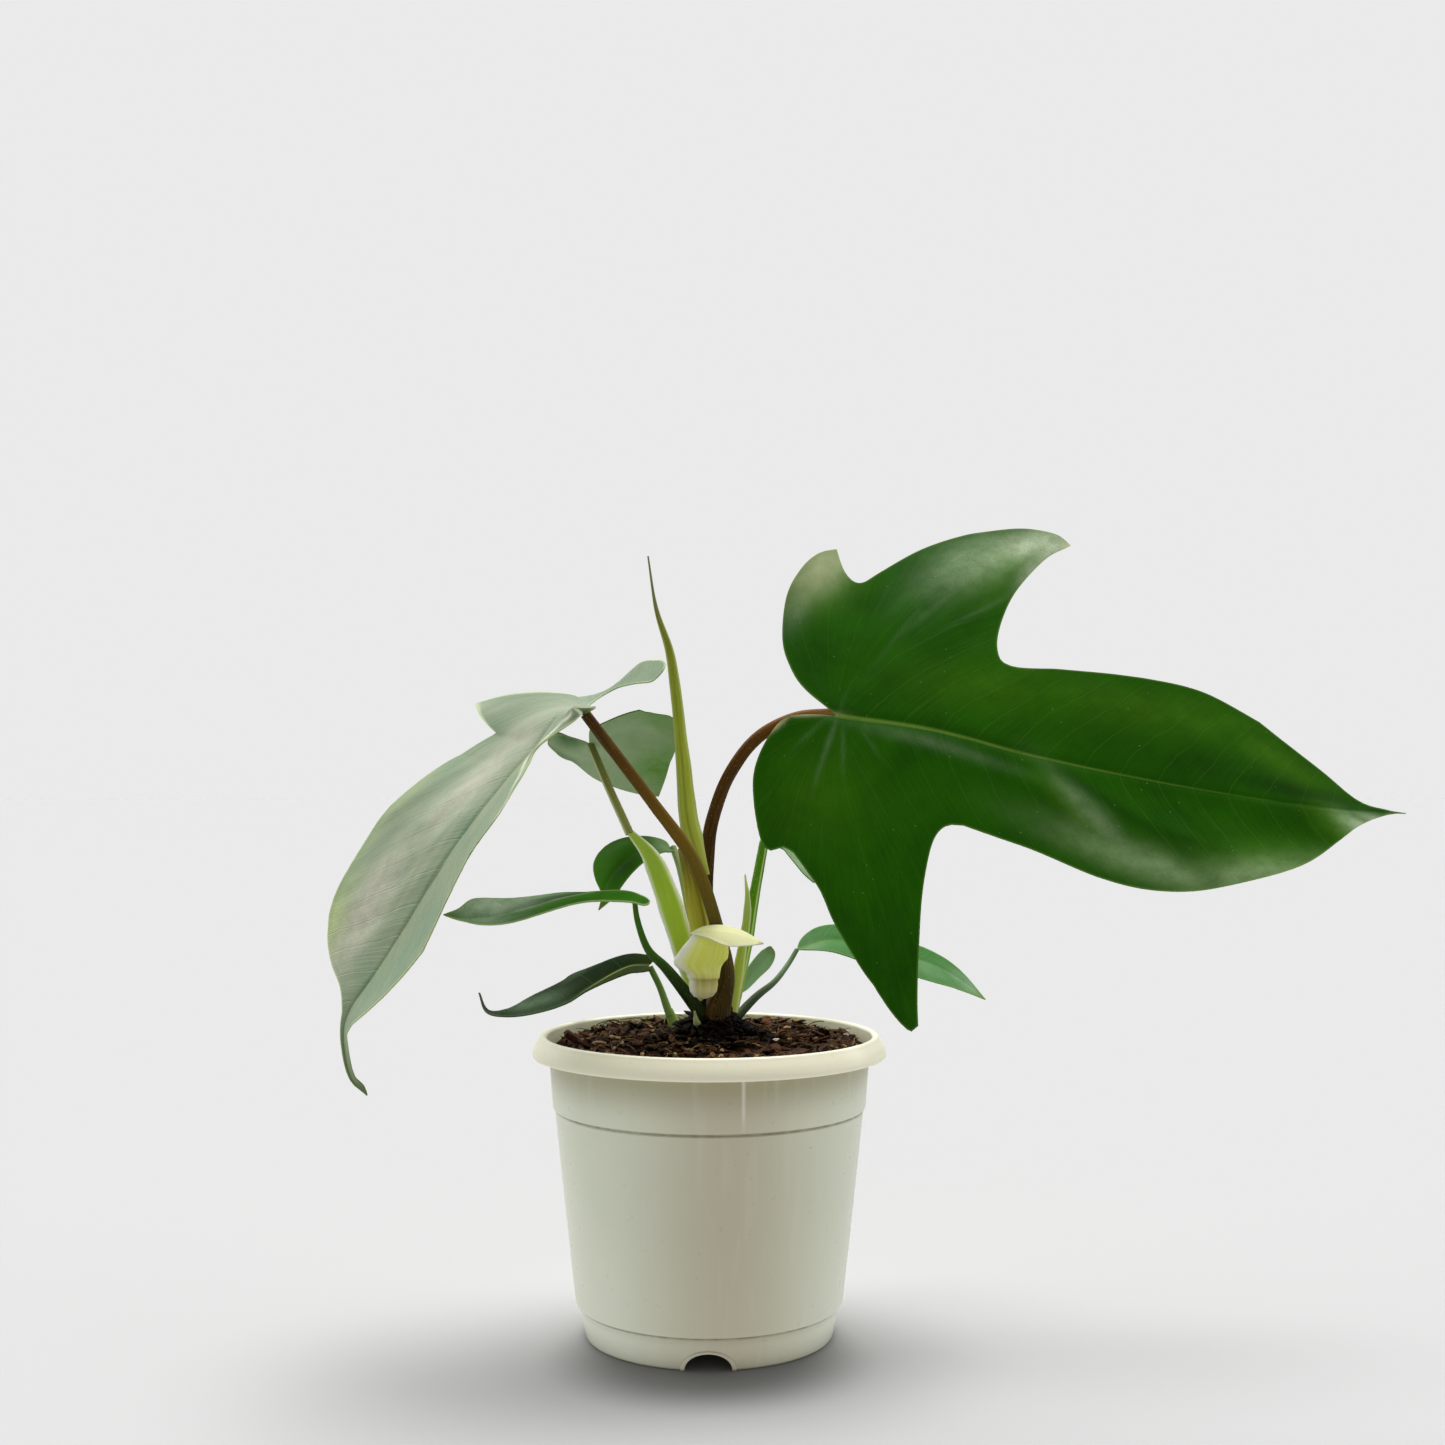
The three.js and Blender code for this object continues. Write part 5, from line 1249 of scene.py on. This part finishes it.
def barkyMaterial(name, deep, light, scale, rough):
    # dry plant matter: fibrous, dull, uneven in tone
    material, tree = newMaterial(name)
    place = addNode(tree, "TexCoord").outputs["Object"]
    tone = addNode(tree, "TexNoise", None,
                   {"Vector": place, "Scale": scale, "Detail": 6.0, "Roughness": 0.65})
    share = addNode(tree, "MapRange", None, {"Value": tone, "From Min": 0.36, "From Max": 0.68})
    fibres = addNode(tree, "TexNoise", None, {"Vector": place, "Scale": scale * 5, "Detail": 5.0})
    relief = addNode(tree, "Bump", None, {"Height": fibres, "Strength": 0.9, "Distance": 0.0005})
    gloss = addNode(tree, "MapRange", None, {"Value": fibres, "To Min": rough - 0.12, "To Max": rough + 0.08})
    closeMaterial(tree, addNode(tree, "BsdfPrincipled", None, {
        "Base Color": paintLayers(tree, deep, [(light, share)]), "Roughness": gloss, "IOR": 1.45,
        "Normal": relief, "Specular IOR Level": 0.12,
    }))
    return material


stem = stemPiece(stemSet)
# near black: partly the stem's own dark skin, partly painted shade deep among the stalks
stem.data.materials.append(barkyMaterial("corky_stem_skin_and_painted_shade", "#060503", "#1f140c", 260.0, 0.8))
finishPiece(smoothBy(stem, 50), "stem", "stem")
print("scale leaf, bud and stem made")

soilSet = {
    "atWall": 99.8, "atStem": 104.5, "moundRadius": 18, "tilt": 0.03, "radius": 55.0, "grid": 3.0,
    "heap": {"radius": 15.0, "height": 7.5},  # dark crumbs banked up against the stem
}


def soilHeight(x, y):
    radius = math.hypot(x, y)
    mound = (soilSet["atStem"] - soilSet["atWall"]) * math.exp(-((radius / soilSet["moundRadius"]) ** 2))
    lumps = 0.7 * math.sin(x * 0.31 + 1) * math.cos(y * 0.27) + 0.4 * math.sin((x + 2 * y) * 0.19)
    return soilSet["atWall"] + mound + soilSet["tilt"] * y + lumps * min(1, (54 - radius) / 10)


def soilPiece():
    # a disc cut into a grid and drawn up into a block, whose top takes the mound's shape
    deselectAll()
    bpy.ops.mesh.primitive_circle_add(vertices=120, radius=soilSet["radius"], fill_type="NGON")
    piece = bpy.context.object
    piece.name = "potting_mix"
    bpy.ops.object.mode_set(mode="EDIT")
    for place in np.arange(-54, 55, soilSet["grid"]):
        cutAcross(0, [place])
        cutAcross(1, [place])
    bpy.ops.mesh.select_all(action="SELECT")
    bpy.ops.mesh.extrude_region_move(TRANSFORM_OT_translate={"value": (0, 0, 10)})
    bpy.ops.mesh.select_all(action="SELECT")
    bpy.ops.mesh.normals_make_consistent(inside=False)
    bpy.ops.object.mode_set(mode="OBJECT")
    applyModifier(piece, "SUBSURF", subdivision_type="SIMPLE", levels=2, render_levels=2)
    bottom = potSet["floorUnder"] + potSet["floorThick"] + 0.3
    places = vertexPlaces(piece)
    for p in places:
        x, y, share = p[0], p[1], p[2] / 10
        coarse = noise.fractal(Vector((x / 5, y / 5, 4)), 0.9, 2.1, 5) * 1.5
        crumb = coarse + abs(noise.noise(Vector((x / 2, y / 2, 9)))) * 1.2
        top = soilHeight(x, y) + crumb * min(1, (55.4 - math.hypot(x, y)) / 2)
        p[2] = bottom + (top - bottom) * share
        narrow = (innerRadius(p[2]) - 0.4) / (innerRadius(soilSet["atWall"]) - 0.4)
        p[0], p[1] = x * narrow, y * narrow
    moveVertices(piece, toFrame(places))
    return smoothBy(piece, 40)


mix = soilPiece()
mix.data.materials.append(barkyMaterial("peat_and_bark_mix", "#0a0603", "#3a2414", 340.0, 0.85))
finishPiece(mix, "soil", "soil")


# Loose crumbs, shreds and fibres: each kind is modelled once and copied over the mound.
def crumbModel(name, size, seed):
    # a torn lump: a low cube, cut up, rounded and broken by noise
    deselectAll()
    bpy.ops.mesh.primitive_cube_add(size=1)
    model = bpy.context.object
    model.name = name
    bpy.ops.object.mode_set(mode="EDIT")
    bpy.ops.mesh.select_all(action="SELECT")
    bpy.ops.mesh.subdivide(number_cuts=1, smoothness=0.6)
    bpy.ops.object.mode_set(mode="OBJECT")
    for vertex in model.data.vertices:
        push = 1 + 0.45 * noise.noise(vertex.co * 2.3 + Vector((seed, 0, 0)))
        vertex.co = Vector([vertex.co[k] * size[k] * push * mm for k in range(3)])
    return model


def fibreModel(name, length, thick, bow):
    # a shred of coir or root: a thin four-sided strand, bowed
    deselectAll()
    bpy.ops.mesh.primitive_cylinder_add(vertices=4, radius=thick * mm, depth=length * mm,
                                        rotation=(0, math.pi / 2, 0))
    bpy.ops.object.transform_apply(location=True, rotation=True, scale=True)
    model = bpy.context.object
    model.name = name
    bpy.ops.object.mode_set(mode="EDIT")
    cutAcross(0, [(k / 6 - 0.5) * length * mm for k in range(1, 6)])
    bpy.ops.object.mode_set(mode="OBJECT")
    for vertex in model.data.vertices:
        t = vertex.co.x / (length * mm) * 2
        vertex.co.z += bow * mm * (1 - t * t)
        vertex.co.y += bow * mm * 0.8 * math.sin(t * 2.4)
    return model


def scatter(name, models, count, material, spread, lift, scales, inner=7.0, banked=0.0):
    # copies the models over the mound, each with its own mesh, and joins them into one piece
    copies = []
    for k in range(count):
        radius, angle = spread * math.sqrt(random.random()), random.uniform(0, 2 * math.pi)
        x, y = radius * math.cos(angle), radius * math.sin(angle)
        away = math.hypot(x - 2, y)
        if away < inner:
            continue
        model = random.choice(models)
        copy = bpy.data.objects.new(name, model.data.copy())
        scene.collection.objects.link(copy)
        tips = (random.uniform(-0.5, 0.5), random.uniform(-0.5, 0.5), random.uniform(0, 2 * math.pi))
        turn = Euler(tips).to_matrix().to_4x4()
        size = random.uniform(*scales)
        bank = banked * max(0.0, 1 - (away - inner) / soilSet["heap"]["radius"])
        z = soilHeight(x, y) + random.uniform(*lift) + bank
        copy.data.transform(Matrix.Translation(Vector(toFrame([x, y, z]))) @ turn @ Matrix.Scale(size, 4))
        copies.append(copy)
    deselectAll()
    for copy in copies:
        copy.select_set(True)
    bpy.context.view_layer.objects.active = copies[0]
    bpy.ops.object.join()
    piece = bpy.context.object
    piece.name = name
    piece.data.materials.clear()
    piece.data.materials.append(material)
    finishPiece(piece, "soil")


crumbs = [crumbModel("crumb_%d" % k, size, k * 3.1) for k, size in enumerate(
    [(1.6, 1.2, 0.9), (2.4, 1.3, 0.8), (1.2, 1.1, 1.0), (3.2, 1.1, 0.6)])]
shreds = [crumbModel("shred_%d" % k, size, 20 + k * 2.7) for k, size in enumerate(
    [(4.2, 1.3, 0.5), (3.2, 1.8, 0.5), (5.4, 0.9, 0.6)])]
fibres = [fibreModel("fibre_%d" % k, *size) for k, size in enumerate(
    [(7, 0.14, 0.9), (5, 0.11, 0.6), (9, 0.16, 1.6)])]
crumbSet = {  # deep and light tone, how many, models, lift above the mound, sizes
    "dark": ("#080503", "#28180c", 420, crumbs, (0.1, 1.6), (0.6, 1.6)),
    "brown": ("#26170c", "#64462c", 340, crumbs + shreds, (0.6, 2.0), (0.7, 1.6)),
    "red": ("#321a0d", "#7c4e30", 200, shreds, (1.0, 2.3), (0.5, 1.4)),
    "tan": ("#6c4c30", "#c4a67c", 90, shreds + crumbs, (1.1, 2.3), (0.5, 1.2)),
}
for tone, (deep, light, count, models, lift, scales) in crumbSet.items():
    scatter("mix_crumbs_" + tone, models, count,
            barkyMaterial("bark_and_coir_" + tone, deep, light, 500.0, 0.8), 53.0, lift, scales)
scatter("mix_fibres", fibres, 210,
        barkyMaterial("coir_fibre", "#4a2c16", "#b08c5e", 600.0, 0.7), 52.0, (1.2, 2.8), (0.6, 1.4))
# near-black crumbs heaped against the stem
scatter("mix_banked_crumbs", crumbs + shreds, 420,
        barkyMaterial("black_bark_by_stem", "#070403", "#20130a", 500.0, 0.75),
        soilSet["heap"]["radius"] + 4, (-1.5, 0.5), (0.8, 1.6), 5.5, soilSet["heap"]["height"])
for model in crumbs + shreds + fibres:
    bpy.data.objects.remove(model)

chipSet = [
    {"size": (9, 4, 2.4), "at": (-47, -4, 102.6), "turn": (0.2, 0.65, 0.3)},
    {"size": (8, 5, 2.2), "at": (30, -25, 100.6), "turn": (0.1, -0.2, 0.8)},
    {"size": (7, 3.5, 2.2), "at": (-22, 34, 100.6), "turn": (-0.15, 0.2, -0.5)},
]
beadSet = [{"radius": 1.9, "at": (23.5, 0, 101.2)}, {"radius": 1.5, "at": (-30, -28, 100.4)}]
chipSkin = barkyMaterial("pine_bark_chip", "#20120a", "#6a452c", 300.0, 0.8)
for k, chip in enumerate(chipSet):
    deselectAll()
    bpy.ops.mesh.primitive_cube_add(size=1)
    piece = bpy.context.object
    piece.name = "bark_piece_%d" % (k + 1)
    bpy.ops.object.mode_set(mode="EDIT")
    bpy.ops.mesh.select_all(action="SELECT")
    bpy.ops.mesh.bevel(offset=0.12, segments=2, affect="EDGES")
    bpy.ops.mesh.select_all(action="SELECT")
    bpy.ops.mesh.subdivide(number_cuts=3)
    bpy.ops.object.mode_set(mode="OBJECT")
    turn = Euler(chip["turn"]).to_matrix()
    for vertex in piece.data.vertices:
        grain = noise.fractal(Vector((vertex.co.x * 1.5, vertex.co.y * 5, vertex.co.z * 3 + k)), 1.0, 2.0, 4)
        local = Vector([vertex.co[j] * chip["size"][j] for j in range(3)]) * (1 + 0.12 * grain)
        vertex.co = Vector(toFrame(turn @ local + Vector(chip["at"])))
    piece.data.materials.append(chipSkin)
    finishPiece(smoothBy(piece, 35), "bark", "bark_chip_%d" % (k + 1))


def perliteMaterial():
    # expanded volcanic glass: white, matt, full of pores a few tenths of a millimetre wide
    material, tree = newMaterial("expanded_perlite")
    place = addNode(tree, "TexCoord").outputs["Object"]
    pores = addNode(tree, "TexVoronoi", None, {"Vector": place, "Scale": 1800.0}).outputs["Distance"]
    tone = addNode(tree, "MapRange", None, {"Value": pores, "From Max": 0.6})
    relief = addNode(tree, "Bump", None, {"Height": pores, "Strength": 0.8, "Distance": 0.0002})
    colour = paintLayers(tree, "#b3a890", [("#e8e2d6", tone)])
    closeMaterial(tree, addNode(tree, "BsdfPrincipled", None, {
        "Base Color": colour, "Roughness": 0.85, "Normal": relief}))
    return material


perlite = perliteMaterial()
for k, bead in enumerate(beadSet):
    deselectAll()
    bpy.ops.mesh.primitive_ico_sphere_add(subdivisions=4, radius=1)
    piece = bpy.context.object
    piece.name = "perlite_grain_%d" % (k + 1)
    for vertex in piece.data.vertices:
        bump = noise.fractal(vertex.co * 1.7 + Vector((k * 5, 0, 0)), 1.0, 2.0, 4)
        low = Vector((vertex.co.x, vertex.co.y, vertex.co.z * 0.8))
        vertex.co = Vector(toFrame(low * bead["radius"] * (0.92 + 0.22 * bump) + Vector(bead["at"])))
    piece.data.materials.append(perlite)
    finishPiece(smoothBy(piece, 60), "perlite", "perlite_%d" % (k + 1))
print("potting mix made")
